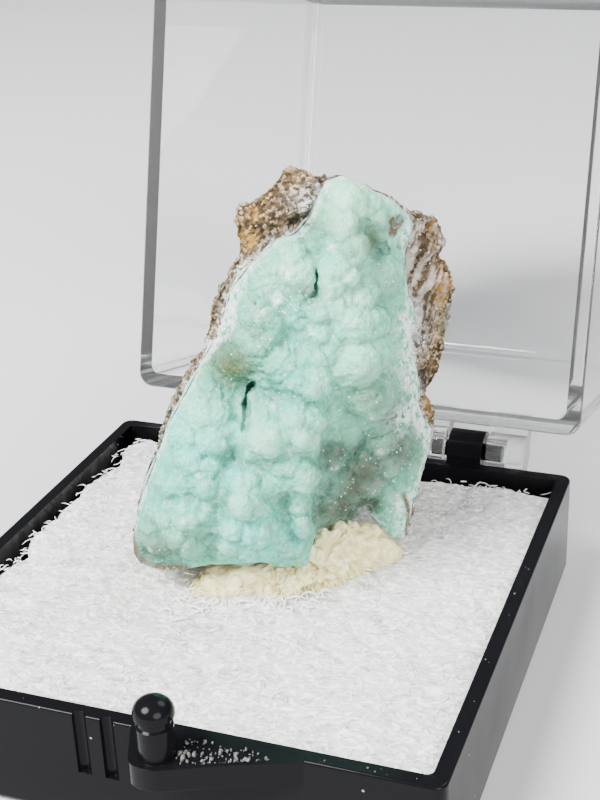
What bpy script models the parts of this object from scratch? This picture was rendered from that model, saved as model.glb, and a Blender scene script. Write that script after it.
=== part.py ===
"""Hemimorphite on matrix, stuck with putty on the foam of a small hinged specimen box.

Metres, +Z up. The origin is the centre of the tray's underside. +X runs along the hinge and
+Y points from the latch to the hinge. The lid stands open and rests on the table behind.
"""

import math

import bpy
import bmesh
import numpy as np
from mathutils import Matrix, Vector

MM = 0.001
GAP = 0.3 * MM

# Flat steps along a rounded corner, a rounded edge, a drawn corner, a barrel and a dome, and
# around the round solids
CORNER_STEPS = 5
EDGE_STEPS = 3
OUTLINE_STEPS = 4
BARREL_STEPS = 26
DOME_STEPS = 6
ROUND_SIDES = 32
SMALL_ROUND_SIDES = 16
# The share of a straight leg that the curve at a drawn corner may take
MOST_OF_A_LEG = 0.45
# Points closer than this are one point
WELD = 0.001 * MM
# Faces that meet more sharply than this keep a crisp edge
SHARP_ANGLE = math.radians(35)
# How far a cutter reaches past the face it opens
OVERCUT = 2 * MM

# The box: a square tray and a tall lid, hinged along the back edge of the rim
BOX_SIDE = 31.75 * MM
BOX_HEIGHT = 38.1 * MM
CORNER = 1.0 * MM
EDGE_ROUND = 0.15 * MM

TRAY_HEIGHT = 6.7 * MM
TRAY_WALL = 0.85 * MM
TRAY_FLOOR = 0.9 * MM
TRAY_FOOT_ROUND = 0.5 * MM
TRAY_CORNER = 0.7 * MM

LID_WALL = 1.0 * MM
LID_SEAT_GAP = 0.1 * MM
LID_TOP_ROUND = 1.0 * MM
LID_INNER_ROUND = 0.6 * MM

FOAM_BELOW_RIM = 0.6 * MM

# The hinge: two groups, each a tray barrel between two lid knuckles
HINGE_BEHIND_WALL = 1.725 * MM
HINGE_GROUP_X = 8.65 * MM
BARREL_RADIUS = 1.4 * MM
BARREL_LENGTH = 2.3 * MM
KNUCKLE_LENGTH = 2.4 * MM
PIN_RADIUS = 0.55 * MM
PIN_REACH = 1.2 * MM
PIN_CLEARANCE = 0.15 * MM
ARM_LIFT = 0.15 * MM

# The lid touches the table with its rounded top edge, just clear of it here
TABLE_CLEARANCE = 0.05 * MM

# The latch: a flush tab on the tray with a round post, and an eyelet on the lid that snaps over it
TAB_THICKNESS = 1.25 * MM
TAB_OUTLINE_MM = [
    (0.1, -15.4),
    (0.1, -15.9),
    (1.2, -18.5),
    (2.4, -18.7),
    (5.9, -17.15),
    (9.1, -15.9),
    (9.1, -15.4),
]
TAB_CORNER = 0.5 * MM
POST_X, POST_Y = 2.25 * MM, -17.4 * MM
POST_HEIGHT = 3.25 * MM
POST_RADIUS = 0.92 * MM
CAP_RADIUS = 1.02 * MM
CAP_HEIGHT = 1.1 * MM
CAP_BAND = 0.3 * MM
CAP_CHAMFER = 0.15 * MM
NECK_DEPTH = 0.1 * MM
NECK_LENGTH = 0.3 * MM
EYELET_HOLE = 1.3 * MM
EYELET_RIM = 1.1 * MM
EYELET_THICKNESS = 1.9 * MM
EYELET_ROOT_MM = (-1.2, 6.0)
EYELET_ARC_DEG = (200, 340)

# Two upright grooves in the front wall, left of the tab
GROOVES_X = (-2.78 * MM, -1.25 * MM)
GROOVE_RADIUS = 0.4 * MM
GROOVE_DROP = 3.6 * MM
GROOVE_OUT = 0.05 * MM

# The stone stands on its putty, turned and leaning back a little
STONE_X, STONE_Y = 2.0 * MM, -0.6 * MM
STONE_TURN = math.radians(27)
STONE_LEAN = math.radians(9)

# The stone's edge, looking square at its face: (across, up, forward) in mm, from the right, anticlockwise
STONE_CENTRE_MM = (1.6, 12.5)
STONE_EDGE_MM = [
    (10.9, 13.0, -3.5),
    (11.3, 14.6, -3.5),
    (11.5, 15.7, -3.5),
    (11.1, 17.3, -3.5),
    (10.7, 17.6, -3.5),
    (11.2, 18.4, -3.5),
    (10.7, 19.8, -3.5),
    (9.0, 20.4, -3.0),
    (7.8, 21.3, -2.0),
    (6.1, 22.3, -1.5),
    (5.1, 22.8, -1.5),
    (3.5, 22.8, -1.8),
    (2.2, 23.4, -2.5),
    (1.1, 22.3, -2.5),
    (0.3, 21.5, -2.5),
    (-0.7, 21.4, -2.5),
    (-0.7, 18.6, -2.5),
    (-1.6, 17.4, -2.3),
    (-2.6, 15.9, -2.1),
    (-3.2, 13.5, -1.7),
    (-4.8, 11.4, -1.2),
    (-6.3, 8.3, -1.0),
    (-7.4, 5.7, -1.0),
    (-8.1, 3.2, -0.8),
    (-7.8, 1.8, -0.4),
    (-6.3, 1.3, 0.2),
    (-3.9, 1.8, 0.8),
    (-1.0, 1.8, 1.1),
    (1.6, 1.2, 1.1),
    (2.8, 3.3, -0.4),
    (4.9, 3.4, -1.8),
    (6.6, 1.4, -1.6),
    (7.8, 1.3, -1.7),
    (8.5, 3.5, -2.2),
    (9.5, 6.3, -2.8),
    (10.2, 8.5, -3.2),
    (9.4, 9.6, -3.5),
    (10.4, 10.7, -3.5),
]

# The rounded lobes of the crust: (across, up, summit forward, radius) in mm
LOBES_MM = [
    (1.6, 19.4, 2.0, 1.0),
    (1.4, 18.2, 2.3, 1.3),
    (0.1, 16.9, 2.0, 1.6),
    (-0.4, 15.0, 1.2, 1.3),
    (-2.0, 13.2, 0.8, 1.3),
    (5.0, 21.7, 0.4, 1.4),
    (4.3, 20.1, 1.6, 1.4),
    (4.6, 18.5, 2.2, 1.4),
    (3.7, 17.1, 2.6, 1.5),
    (6.8, 17.1, 1.2, 1.4),
    (4.5, 15.2, 3.0, 1.5),
    (2.6, 15.8, 2.8, 1.4),
    (4.9, 13.2, 3.0, 1.4),
    (2.3, 12.6, 3.4, 1.6),
    (0.6, 13.7, 2.8, 1.4),
    (5.6, 11.2, 2.4, 1.5),
    (-0.5, 9.6, 3.6, 1.1),
    (1.5, 9.8, 3.8, 1.1),
    (-3.7, 10.2, 2.4, 2.4),
    (-4.6, 8.1, 2.6, 2.2),
    (-6.2, 5.3, 2.0, 1.9),
    (-4.9, 4.3, 2.4, 1.6),
    (-1.6, 6.3, 4.0, 1.1),
    (-1.7, 4.1, 3.6, 2.1),
    (1.1, 7.3, 3.4, 1.1),
    (1.3, 4.6, 2.8, 1.3),
    (3.6, 8.2, 0.6, 0.9),
    (5.7, 7.8, 0.4, 0.9),
    (5.5, 5.3, -0.2, 0.9),
    (7.6, 8.2, 0.0, 1.2),
]
CRUST_FLOOR_MM = -0.6
# How sharply neighbouring lobes meet, per mm
LOBE_SHARPNESS = 2.0
# How squarely the front and the back turn into the rim
FRONT_RIM_POWER = 6
BACK_RIM_POWER = 5

# The broken back: planes given as (slope across, slope up, forward at the centre) in mm
BACK_PLANES_MM = [
    (0.0, 0.05, -7.6),
    (0.35, -0.1, -7.0),
    (-0.3, 0.05, -7.8),
    (0.05, 0.35, -8.4),
    (0.0, -0.4, -9.0),
]

# Cells along each side of the two grids that make the stone's surface
STONE_CELLS = 34

# The putty's outline on the foam, looking down, and the lump at its right end
TACK_OUTLINE_MM = [
    (-2.9, -1.8),
    (-2.3, -2.9),
    (-1.0, -3.3),
    (1.1, -2.2),
    (3.0, -1.9),
    (4.8, -0.4),
    (6.6, 2.0),
    (7.7, 3.8),
    (7.0, 5.6),
    (4.4, 5.4),
    (1.6, 3.6),
    (-1.6, 1.4),
]
TACK_CORNER = 1.2 * MM
TACK_ROUND = 0.4 * MM
TACK_ROUND_ANGLE = math.radians(60)
TACK_THICKNESS = 1.6 * MM
TACK_LUMP_MM = (5.6, 2.3)
TACK_LUMP_HEIGHT = 3.1 * MM
TACK_LUMP_SIZE_MM = (2.6, 1.7)
TACK_LUMP_TURN = math.radians(50)
STONE_CLEARANCE = 0.4 * MM
# The parts of the stone's foot that are hollowed out of the putty, each from one value across to another
SEAT_BANDS_MM = ((-9.0, 2.4), (1.6, 5.9), (5.1, 12.0))
SEAT_TOP_MM = 9.0

HALF = BOX_SIDE / 2
RIM_Z = TRAY_HEIGHT
FOAM_TOP = TRAY_HEIGHT - FOAM_BELOW_RIM
HINGE = Vector((0.0, HALF + HINGE_BEHIND_WALL, RIM_Z))
LID_HEIGHT = BOX_HEIGHT - TRAY_HEIGHT


def clear_scene():
    for item in list(bpy.data.objects):
        bpy.data.objects.remove(item, do_unlink=True)


def collection(name, hidden=False):
    made = bpy.data.collections.new(name)
    made.hide_render = hidden
    bpy.context.scene.collection.children.link(made)
    return made


def material(name, color, roughness, transmission=0.0, ior=1.5):
    made = bpy.data.materials.new(name)
    made.use_nodes = True
    shader = made.node_tree.nodes["Principled BSDF"]
    shader.inputs["Base Color"].default_value = (*color, 1.0)
    shader.inputs["Roughness"].default_value = roughness
    shader.inputs["Metallic"].default_value = 0.0
    shader.inputs["Transmission Weight"].default_value = transmission
    shader.inputs["IOR"].default_value = ior
    return made


def add_object(name, bm, target):
    """Makes the bmesh an object in the target collection."""
    mesh = bpy.data.meshes.new(name)
    bmesh.ops.recalc_face_normals(bm, faces=bm.faces[:])
    bm.to_mesh(mesh)
    bm.free()
    made = bpy.data.objects.new(name, mesh)
    target.objects.link(made)
    return made


def rounded_block(name, low, high, corner, low_round, high_round, target):
    """A box with its upright edges rounded by corner, and its lower and upper edges rounded too."""
    bm = bmesh.new()
    bmesh.ops.create_cube(bm, size=1.0)
    size = Vector(high) - Vector(low)
    bmesh.ops.scale(bm, vec=size, verts=bm.verts)
    bmesh.ops.translate(bm, vec=(Vector(high) + Vector(low)) / 2, verts=bm.verts)
    upright = [e for e in bm.edges if abs(e.verts[0].co.z - e.verts[1].co.z) > size.z / 2]
    bmesh.ops.bevel(bm, geom=upright, offset=corner, segments=CORNER_STEPS, profile=0.5, affect="EDGES")
    for level, radius in ((low[2], low_round), (high[2], high_round)):
        if radius > 0:
            loop = [e for e in bm.edges if all(abs(v.co.z - level) < 1e-7 for v in e.verts)]
            bmesh.ops.bevel(bm, geom=loop, offset=radius, segments=EDGE_STEPS, profile=0.5, affect="EDGES")
    return add_object(name, bm, target)


def rod_along_x(name, centre, radius, length, target):
    """A small cylinder along X."""
    bm = bmesh.new()
    bmesh.ops.create_cone(
        bm, cap_ends=True, segments=SMALL_ROUND_SIDES, radius1=radius, radius2=radius, depth=length
    )
    bmesh.ops.rotate(bm, matrix=Matrix.Rotation(math.pi / 2, 3, "Y"), verts=bm.verts)
    bmesh.ops.translate(bm, vec=centre, verts=bm.verts)
    return add_object(name, bm, target)


def rounded_outline(points, radius):
    """The closed outline with each corner replaced by a short curve between its two legs."""
    corners = [Vector(p) for p in points]
    outline = []
    for i, corner in enumerate(corners):
        before = corners[i - 1] - corner
        after = corners[(i + 1) % len(corners)] - corner
        start = corner + before.normalized() * min(radius, before.length * MOST_OF_A_LEG)
        end = corner + after.normalized() * min(radius, after.length * MOST_OF_A_LEG)
        for k in range(OUTLINE_STEPS + 1):
            t = k / OUTLINE_STEPS
            outline.append(start * (1 - t) ** 2 + corner * 2 * t * (1 - t) + end * t * t)
    return outline


def flat_plate(name, outline, z_low, z_high, target):
    """A flat outline extruded from z_low to z_high: a filled 2D curve made a mesh."""
    curve = bpy.data.curves.new(name, "CURVE")
    curve.dimensions = "2D"
    curve.fill_mode = "BOTH"
    curve.extrude = (z_high - z_low) / 2
    spline = curve.splines.new("POLY")
    spline.points.add(len(outline) - 1)
    for point, place in zip(spline.points, outline):
        point.co = (place[0], place[1], 0, 1)
    spline.use_cyclic_u = True
    guide = bpy.data.objects.new(name + "_curve", curve)
    target.objects.link(guide)
    guide.location.z = (z_low + z_high) / 2
    bpy.context.view_layer.update()
    graph = bpy.context.evaluated_depsgraph_get()
    mesh = bpy.data.meshes.new_from_object(guide.evaluated_get(graph))
    mesh.transform(guide.matrix_world)
    bm = bmesh.new()
    bm.from_mesh(mesh)
    bpy.data.meshes.remove(mesh)
    bpy.data.objects.remove(guide, do_unlink=True)
    bmesh.ops.remove_doubles(bm, verts=bm.verts, dist=WELD)
    return add_object(name, bm, target)


def hinge_lug(name, wall_y, near_z, above, x_low, x_high, target):
    """A round barrel about the hinge axis with a flat arm to the wall, extruded along X.

    The arm lies between near_z and the barrel's tangent, above the axis or below it.
    """
    sign = 1 if above else -1
    sweep = math.radians(270) + math.asin(abs(near_z) / BARREL_RADIUS)
    arc = [math.pi / 2 - sweep * k / BARREL_STEPS for k in range(BARREL_STEPS + 1)]
    outline = [(wall_y, sign * BARREL_RADIUS)]
    outline += [(BARREL_RADIUS * math.cos(a), sign * BARREL_RADIUS * math.sin(a)) for a in arc]
    outline += [(wall_y, near_z)]
    bm = bmesh.new()
    bm.from_mesh(flat_plate(name + "_section", outline, x_low, x_high, target).data)
    bpy.data.objects.remove(bpy.data.objects[name + "_section"], do_unlink=True)
    stand = Matrix(((0, 0, 1), (1, 0, 0), (0, 1, 0)))
    bmesh.ops.transform(bm, matrix=stand.to_4x4(), verts=bm.verts)
    return add_object(name, bm, target)


def boolean(obj, other, operation):
    """Joins or cuts obj with other, which becomes a hidden helper."""
    step = obj.modifiers.new(other.name, "BOOLEAN")
    step.operation = operation
    step.object = other
    step.solver = "EXACT"
    other.hide_render = True
    other.display_type = "WIRE"


def join(obj, *others):
    for other in others:
        boolean(obj, other, "UNION")


def cut(obj, *others):
    for other in others:
        boolean(obj, other, "DIFFERENCE")


def finish(obj, look):
    obj.data.materials.clear()
    obj.data.materials.append(look)
    obj.data.shade_smooth()
    obj.data.set_sharp_from_angle(angle=SHARP_ANGLE)


def turned_post(target):
    """The latch post: a shaft, a shallow neck and a domed cap, turned by a Screw modifier."""
    top = RIM_Z + POST_HEIGHT
    dome_low = top - CAP_HEIGHT
    foot = RIM_Z - TAB_THICKNESS / 2
    profile = []
    dome_height = CAP_HEIGHT - CAP_BAND
    for k in range(DOME_STEPS + 1):
        a = math.pi / 2 * k / DOME_STEPS
        profile.append((CAP_RADIUS * math.sin(a), dome_low + CAP_BAND + dome_height * math.cos(a)))
    neck = POST_RADIUS - NECK_DEPTH
    profile.append((CAP_RADIUS, dome_low + CAP_CHAMFER))
    profile.append((CAP_RADIUS - CAP_CHAMFER, dome_low))
    profile.append((neck, dome_low))
    profile.append((neck, dome_low - NECK_LENGTH))
    profile.append((POST_RADIUS, dome_low - NECK_LENGTH - NECK_DEPTH))
    profile.append((POST_RADIUS, foot))
    profile.append((0.0, foot))
    mesh = bpy.data.meshes.new("latch_post")
    edges = [(i, i + 1) for i in range(len(profile) - 1)]
    mesh.from_pydata([(r, 0.0, z) for r, z in profile], edges, [])
    post = bpy.data.objects.new("latch_post", mesh)
    target.objects.link(post)
    post.location = (POST_X, POST_Y, 0)
    screw = post.modifiers.new("turn", "SCREW")
    screw.steps = ROUND_SIDES
    screw.render_steps = ROUND_SIDES
    screw.use_merge_vertices = True
    screw.merge_threshold = WELD
    screw.use_normal_calculate = True
    return post


def hinge_groups():
    return (-HINGE_GROUP_X, HINGE_GROUP_X)


def build_tray(parts, helpers):
    tray = rounded_block(
        "tray", (-HALF, -HALF, 0), (HALF, HALF, TRAY_HEIGHT), TRAY_CORNER, TRAY_FOOT_ROUND, EDGE_ROUND, parts
    )
    inner = HALF - TRAY_WALL
    above = TRAY_HEIGHT + OVERCUT
    hollow = rounded_block(
        "tray_hollow", (-inner, -inner, TRAY_FLOOR), (inner, inner, above), TRAY_CORNER / 2, 0, 0, helpers
    )
    outline = [(x * MM, y * MM) for x, y in TAB_OUTLINE_MM]
    outline = rounded_outline(outline, TAB_CORNER)
    tab = flat_plate("latch_tab", outline, RIM_Z - TAB_THICKNESS, RIM_Z, helpers)
    join(tray, tab, turned_post(helpers))
    for x in hinge_groups():
        low_x, high_x = x - BARREL_LENGTH / 2, x + BARREL_LENGTH / 2
        wall_y = -HINGE_BEHIND_WALL - TRAY_WALL / 2
        barrel = hinge_lug(f"barrel_{x:.4f}", wall_y, -ARM_LIFT, False, low_x, high_x, helpers)
        barrel.location = HINGE
        centre = (x, HINGE.y, HINGE.z)
        pin = rod_along_x(f"pin_{x:.4f}", centre, PIN_RADIUS, BARREL_LENGTH + 2 * PIN_REACH, helpers)
        join(tray, barrel, pin)
    cut(tray, hollow)
    for x in GROOVES_X:
        bm = bmesh.new()
        size = 2 * GROOVE_DROP
        bmesh.ops.create_cone(
            bm,
            cap_ends=True,
            segments=SMALL_ROUND_SIDES,
            radius1=GROOVE_RADIUS,
            radius2=GROOVE_RADIUS,
            depth=size,
        )
        bmesh.ops.translate(bm, vec=(x, -HALF - GROOVE_OUT, RIM_Z), verts=bm.verts)
        cut(tray, add_object(f"groove_{x:.4f}", bm, helpers))
    return tray


def build_foam(parts):
    inner = HALF - TRAY_WALL - GAP
    low = (-inner, -inner, TRAY_FLOOR + GAP)
    return rounded_block("foam_insert", low, (inner, inner, FOAM_TOP), TRAY_CORNER / 2, 0, 0, parts)


def rest_angle():
    """How far the lid has turned from closed when its rounded top edge comes down to the table.

    The edge's centre stands back by b and up by h from the hinge, so it is at b sin + h cos above
    the hinge after the turn. That is solved for the table's level plus the edge's radius.
    """
    back = HINGE_BEHIND_WALL + LID_TOP_ROUND
    up = LID_HEIGHT - LID_TOP_ROUND
    target = -RIM_Z + LID_TOP_ROUND + TABLE_CLEARANCE
    reach = math.hypot(back, up)
    return math.acos(target / reach) + math.atan2(back, up)


def build_lid(parts, helpers):
    """The lid, modelled closed about the hinge axis, then swung back to where it rests."""
    seat = LID_SEAT_GAP
    front, back = -HINGE_BEHIND_WALL - BOX_SIDE, -HINGE_BEHIND_WALL
    lid = rounded_block(
        "lid", (-HALF, front, seat), (HALF, back, LID_HEIGHT), CORNER, EDGE_ROUND, LID_TOP_ROUND, parts
    )
    hollow = rounded_block(
        "lid_hollow",
        (-HALF + LID_WALL, front + LID_WALL, -OVERCUT),
        (HALF - LID_WALL, back - LID_WALL, LID_HEIGHT - LID_WALL),
        LID_INNER_ROUND,
        0,
        LID_INNER_ROUND,
        helpers,
    )
    post_y = POST_Y - HINGE.y
    reach = EYELET_HOLE + EYELET_RIM
    root_y = front + LID_WALL / 2
    left, right = (v * MM for v in EYELET_ROOT_MM)
    outline = [(left, root_y), (left, front)]
    outline += [
        (POST_X + reach * math.cos(a), post_y + reach * math.sin(a))
        for a in np.radians(np.linspace(*EYELET_ARC_DEG, ROUND_SIDES // 2))
    ]
    outline += [(right, front), (right, root_y)]
    eyelet = flat_plate("lid_eyelet", outline, seat, seat + EYELET_THICKNESS, helpers)
    bm = bmesh.new()
    bmesh.ops.create_cone(
        bm,
        cap_ends=True,
        segments=ROUND_SIDES,
        radius1=EYELET_HOLE,
        radius2=EYELET_HOLE,
        depth=EYELET_THICKNESS + 2 * OVERCUT,
    )
    bmesh.ops.translate(bm, vec=(POST_X, post_y, seat), verts=bm.verts)
    hole = add_object("eyelet_hole", bm, helpers)
    cutters = [hollow, hole]
    join(lid, eyelet)
    for x in hinge_groups():
        for side in (-1, 1):
            inner_face = x + side * (BARREL_LENGTH / 2 + GAP)
            outer_face = inner_face + side * KNUCKLE_LENGTH
            low_x, high_x = sorted((inner_face, outer_face))
            tag = f"{x:.4f}_{side}"
            wall_y = back - LID_WALL / 2
            join(lid, hinge_lug(f"knuckle_{tag}", wall_y, ARM_LIFT, True, low_x, high_x, helpers))
            depth = PIN_REACH + PIN_CLEARANCE
            bore = rod_along_x(
                f"bore_{tag}",
                (inner_face + side * (depth / 2 - GAP), 0, 0),
                PIN_RADIUS + PIN_CLEARANCE,
                depth + GAP,
                helpers,
            )
            cutters.append(bore)
    cut(lid, *cutters)
    axis = bpy.data.objects.new("lid_hinge_axis", None)
    parts.objects.link(axis)
    axis.location = HINGE
    axis.rotation_euler.x = -rest_angle()
    lid.parent = axis
    for helper in [step.object for step in lid.modifiers]:
        helper.parent = axis
    return lid


def edge_at(angle):
    """The stone's edge in direction angle from its centre: (distance, forward)."""
    edge = np.array(STONE_EDGE_MM)
    offset = edge[:, :2] - STONE_CENTRE_MM
    bearing = np.unwrap(np.arctan2(offset[:, 1], offset[:, 0]))
    order = np.argsort(bearing)
    bearing = bearing[order]
    distance = np.hypot(*offset[order].T)
    turn = 2 * math.pi
    bearing = np.concatenate([bearing - turn, bearing, bearing + turn])
    forward = np.tile(edge[order, 2], 3)
    return np.interp(angle, bearing, np.tile(distance, 3)), np.interp(angle, bearing, forward)


def crust_front(across, up):
    """Forward reach of the crust: the soft maximum of the lobes' rounded caps and a floor."""
    face = np.full_like(across, CRUST_FLOOR_MM * LOBE_SHARPNESS)
    for x, z, summit, radius in LOBES_MM:
        square = (across - x) ** 2 + (up - z) ** 2
        face = np.logaddexp(face, (summit - square / (2 * radius)) * LOBE_SHARPNESS)
    return face / LOBE_SHARPNESS


def broken_back(across, up):
    """Forward reach of the broken back: the foremost of a few slanting planes."""
    x = across - STONE_CENTRE_MM[0]
    z = up - STONE_CENTRE_MM[1]
    return np.max([a * x + b * z + c for a, b, c in BACK_PLANES_MM], axis=0)


def stone_points(square, front):
    """Where the points of a flat 2 by 2 square go on the stone's front or back.

    The square's rings, at max(|a|, |b|) = s, become the stone's edge shrunk to the share s. A point
    then reaches forward or back from the edge by sqrt(1 - s^k), which rounds the rim.
    """
    a, b = square.T
    flat = np.abs(a) >= np.abs(b)
    with np.errstate(divide="ignore", invalid="ignore"):
        across_angle = np.where(flat, b / a, 2 - a / b) * math.pi / 4
    angle = np.nan_to_num(across_angle) + np.where(np.where(flat, a, b) < 0, math.pi, 0)
    s = np.sin(np.maximum(np.abs(a), np.abs(b)) * math.pi / 2)
    distance, edge_forward = edge_at(np.mod(angle, 2 * math.pi))
    across = STONE_CENTRE_MM[0] + distance * s * np.cos(angle)
    up = STONE_CENTRE_MM[1] + distance * s * np.sin(angle)
    if front:
        surface, share = crust_front(across, up), np.sqrt(1 - s**FRONT_RIM_POWER)
    else:
        surface, share = broken_back(across, up), np.sqrt(1 - s**BACK_RIM_POWER)
    forward = edge_forward + (surface - edge_forward) * share
    return np.column_stack([across, -forward, up]) * MM


def stone_place():
    """Where the stone's own frame stands: turned about Z, then leaning back about its own X."""
    turn = Matrix.Rotation(STONE_TURN, 4, "Z")
    lean = Matrix.Rotation(-STONE_LEAN, 4, "X")
    return Matrix.Translation((STONE_X, STONE_Y, FOAM_TOP)) @ turn @ lean


def stone_mesh(name, target):
    """Two square grids shaped as the stone's front and back, welded along their common edge."""
    bm = bmesh.new()
    for front in (True, False):
        grid = bmesh.ops.create_grid(bm, x_segments=STONE_CELLS, y_segments=STONE_CELLS, size=1.0)["verts"]
        square = np.clip([v.co[:2] for v in grid], -1, 1)
        for v, place in zip(grid, stone_points(square, front)):
            v.co = place
    bmesh.ops.remove_doubles(bm, verts=bm.verts, dist=10 * WELD)
    stone = add_object(name, bm, target)
    stone.matrix_world = stone_place()
    return stone


def seat_hulls(target):
    """Hulls of the foot of the stone, one for each upright band of it, all a clearance larger."""
    stone = stone_mesh("stone_foot", target)
    stone.hide_render = True
    stone.display_type = "WIRE"
    hulls = []
    for low, high in SEAT_BANDS_MM:
        bm = bmesh.new()
        for v in stone.data.vertices:
            if low * MM <= v.co.x <= high * MM and v.co.z <= SEAT_TOP_MM * MM:
                for axis in (Vector((1, 0, 0)), Vector((0, 1, 0)), Vector((0, 0, 1))):
                    bm.verts.new(v.co + axis * STONE_CLEARANCE)
                    bm.verts.new(v.co - axis * STONE_CLEARANCE)
        made = bmesh.ops.convex_hull(bm, input=bm.verts)
        spare = {v for v in made["geom_interior"] if isinstance(v, bmesh.types.BMVert)}
        spare |= {v for v in made["geom_unused"] if isinstance(v, bmesh.types.BMVert)}
        bmesh.ops.delete(bm, geom=list(spare), context="VERTS")
        hull = add_object(f"stone_seat_{low:.0f}", bm, target)
        hull.matrix_world = stone_place()
        hulls.append(hull)
    return hulls


def build_tack(parts, helpers):
    """The putty: a pressed pad with a lump at its right end, hollowed where the stone sits in it."""
    outline = [(x * MM, y * MM) for x, y in TACK_OUTLINE_MM]
    low = FOAM_TOP + GAP
    pad = flat_plate("mineral_tack", rounded_outline(outline, TACK_CORNER), low, low + TACK_THICKNESS, parts)
    rounding = pad.modifiers.new("rounding", "BEVEL")
    rounding.width = TACK_ROUND
    rounding.segments = 2
    rounding.limit_method = "ANGLE"
    rounding.angle_limit = TACK_ROUND_ANGLE
    bm = bmesh.new()
    bmesh.ops.create_icosphere(bm, subdivisions=3, radius=1.0)
    lump_x, lump_y = (v * MM for v in TACK_LUMP_MM)
    width, depth = (v * MM for v in TACK_LUMP_SIZE_MM)
    bmesh.ops.scale(bm, vec=(width, depth, TACK_LUMP_HEIGHT / 2), verts=bm.verts)
    bmesh.ops.rotate(bm, matrix=Matrix.Rotation(TACK_LUMP_TURN, 3, "Z"), verts=bm.verts)
    bmesh.ops.translate(bm, vec=(lump_x, lump_y, FOAM_TOP + TACK_LUMP_HEIGHT / 2), verts=bm.verts)
    lump = add_object("tack_lump", bm, helpers)
    top = FOAM_TOP + GAP
    under = rounded_block("under_tack", (-HALF, -HALF, 0), (HALF, HALF, top), CORNER, 0, 0, helpers)
    join(pad, lump)
    cut(pad, under, *seat_hulls(helpers))
    return pad


def main():
    clear_scene()
    parts = collection("hemimorphite_thumbnail")
    helpers = collection("cutters_and_joins")
    black = material("black_styrene", (0.012, 0.012, 0.014), 0.12)
    clear = material("clear_styrene", (0.97, 0.98, 0.99), 0.03, transmission=1.0, ior=1.57)
    foam = material("white_foam", (0.85, 0.85, 0.85), 0.95)
    putty = material("cream_putty", (0.74, 0.69, 0.52), 0.7)
    mineral = material("hemimorphite_crust", (0.55, 0.78, 0.72), 0.35)
    finish(build_tray(parts, helpers), black)
    finish(build_lid(parts, helpers), clear)
    finish(build_foam(parts), foam)
    finish(build_tack(parts, helpers), putty)
    finish(stone_mesh("specimen", parts), mineral)


main()
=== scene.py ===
# Hemimorphite on its matrix, stuck with putty on the foam of a small hinged specimen box.
import math

import bmesh
import bpy
import numpy as np
from mathutils import Matrix, Vector


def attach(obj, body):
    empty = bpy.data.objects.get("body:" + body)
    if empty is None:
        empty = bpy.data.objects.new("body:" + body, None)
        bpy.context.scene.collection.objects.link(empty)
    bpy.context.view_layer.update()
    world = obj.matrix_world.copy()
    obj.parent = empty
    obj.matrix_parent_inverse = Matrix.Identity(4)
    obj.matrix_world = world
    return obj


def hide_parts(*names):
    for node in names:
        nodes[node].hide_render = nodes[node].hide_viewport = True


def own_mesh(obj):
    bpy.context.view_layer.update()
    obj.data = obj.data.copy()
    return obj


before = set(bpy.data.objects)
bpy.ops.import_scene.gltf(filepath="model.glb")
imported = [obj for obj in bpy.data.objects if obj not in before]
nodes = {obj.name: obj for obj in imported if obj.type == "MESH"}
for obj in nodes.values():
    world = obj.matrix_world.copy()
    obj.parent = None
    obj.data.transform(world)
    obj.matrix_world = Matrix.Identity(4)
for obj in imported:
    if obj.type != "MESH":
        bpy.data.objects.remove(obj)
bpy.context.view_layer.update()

mm = 0.001
fullTurn = 2 * math.pi


def stacked(*parts):
    # Arrays of one shape, side by side along a new last axis.
    return np.stack(parts, axis=-1)


def flatPoints(a, b):
    # Points on the ground plane.
    return stacked(a, b, 0 * a)


# ---- noise on whole arrays of points

def cellRandom(cells, salt):
    # One repeatable number from 0 to 1 for each whole-number cell: its coordinates times large
    # primes, mixed bit by bit and scaled down.
    h = (cells[..., 0] * 73856093) ^ (cells[..., 1] * 19349663) ^ (cells[..., 2] * 83492791)
    h = (h ^ (salt * 961748941)) & 0x7FFFFFFF
    h = (((h ^ (h >> 13)) & 0x7FFFFFFF) * 1274126177) & 0x7FFFFFFF
    h = ((h ^ (h >> 15)) * 668265263) & 0x7FFFFFFF
    return (h ^ (h >> 11)) / 0x7FFFFFFF


def softNoise(points, size, salt):
    # From -1 to 1: the random numbers of the eight corners of each cell, blended by a smooth step.
    q = points / size
    low = np.floor(q).astype(np.int64)
    t = q - low
    t = t * t * (3 - 2 * t)
    total = np.zeros(points.shape[:-1])
    for corner in np.ndindex(2, 2, 2):
        weight = np.prod(np.where(np.array(corner) == 1, t, 1 - t), axis=-1)
        total += weight * cellRandom(low + np.array(corner), salt)
    return total * 2 - 1


def layeredNoise(points, size, layers, salt):
    # Soft noise over again at half the size and half the strength.
    total = np.zeros(points.shape[:-1])
    for k in range(layers):
        total += softNoise(points, size / 2 ** k, salt + 11 * k) / 2 ** k
    return total


def randomSpot(cells, salt):
    return stacked(*[cellRandom(cells, salt + k) for k in range(3)])


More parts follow.
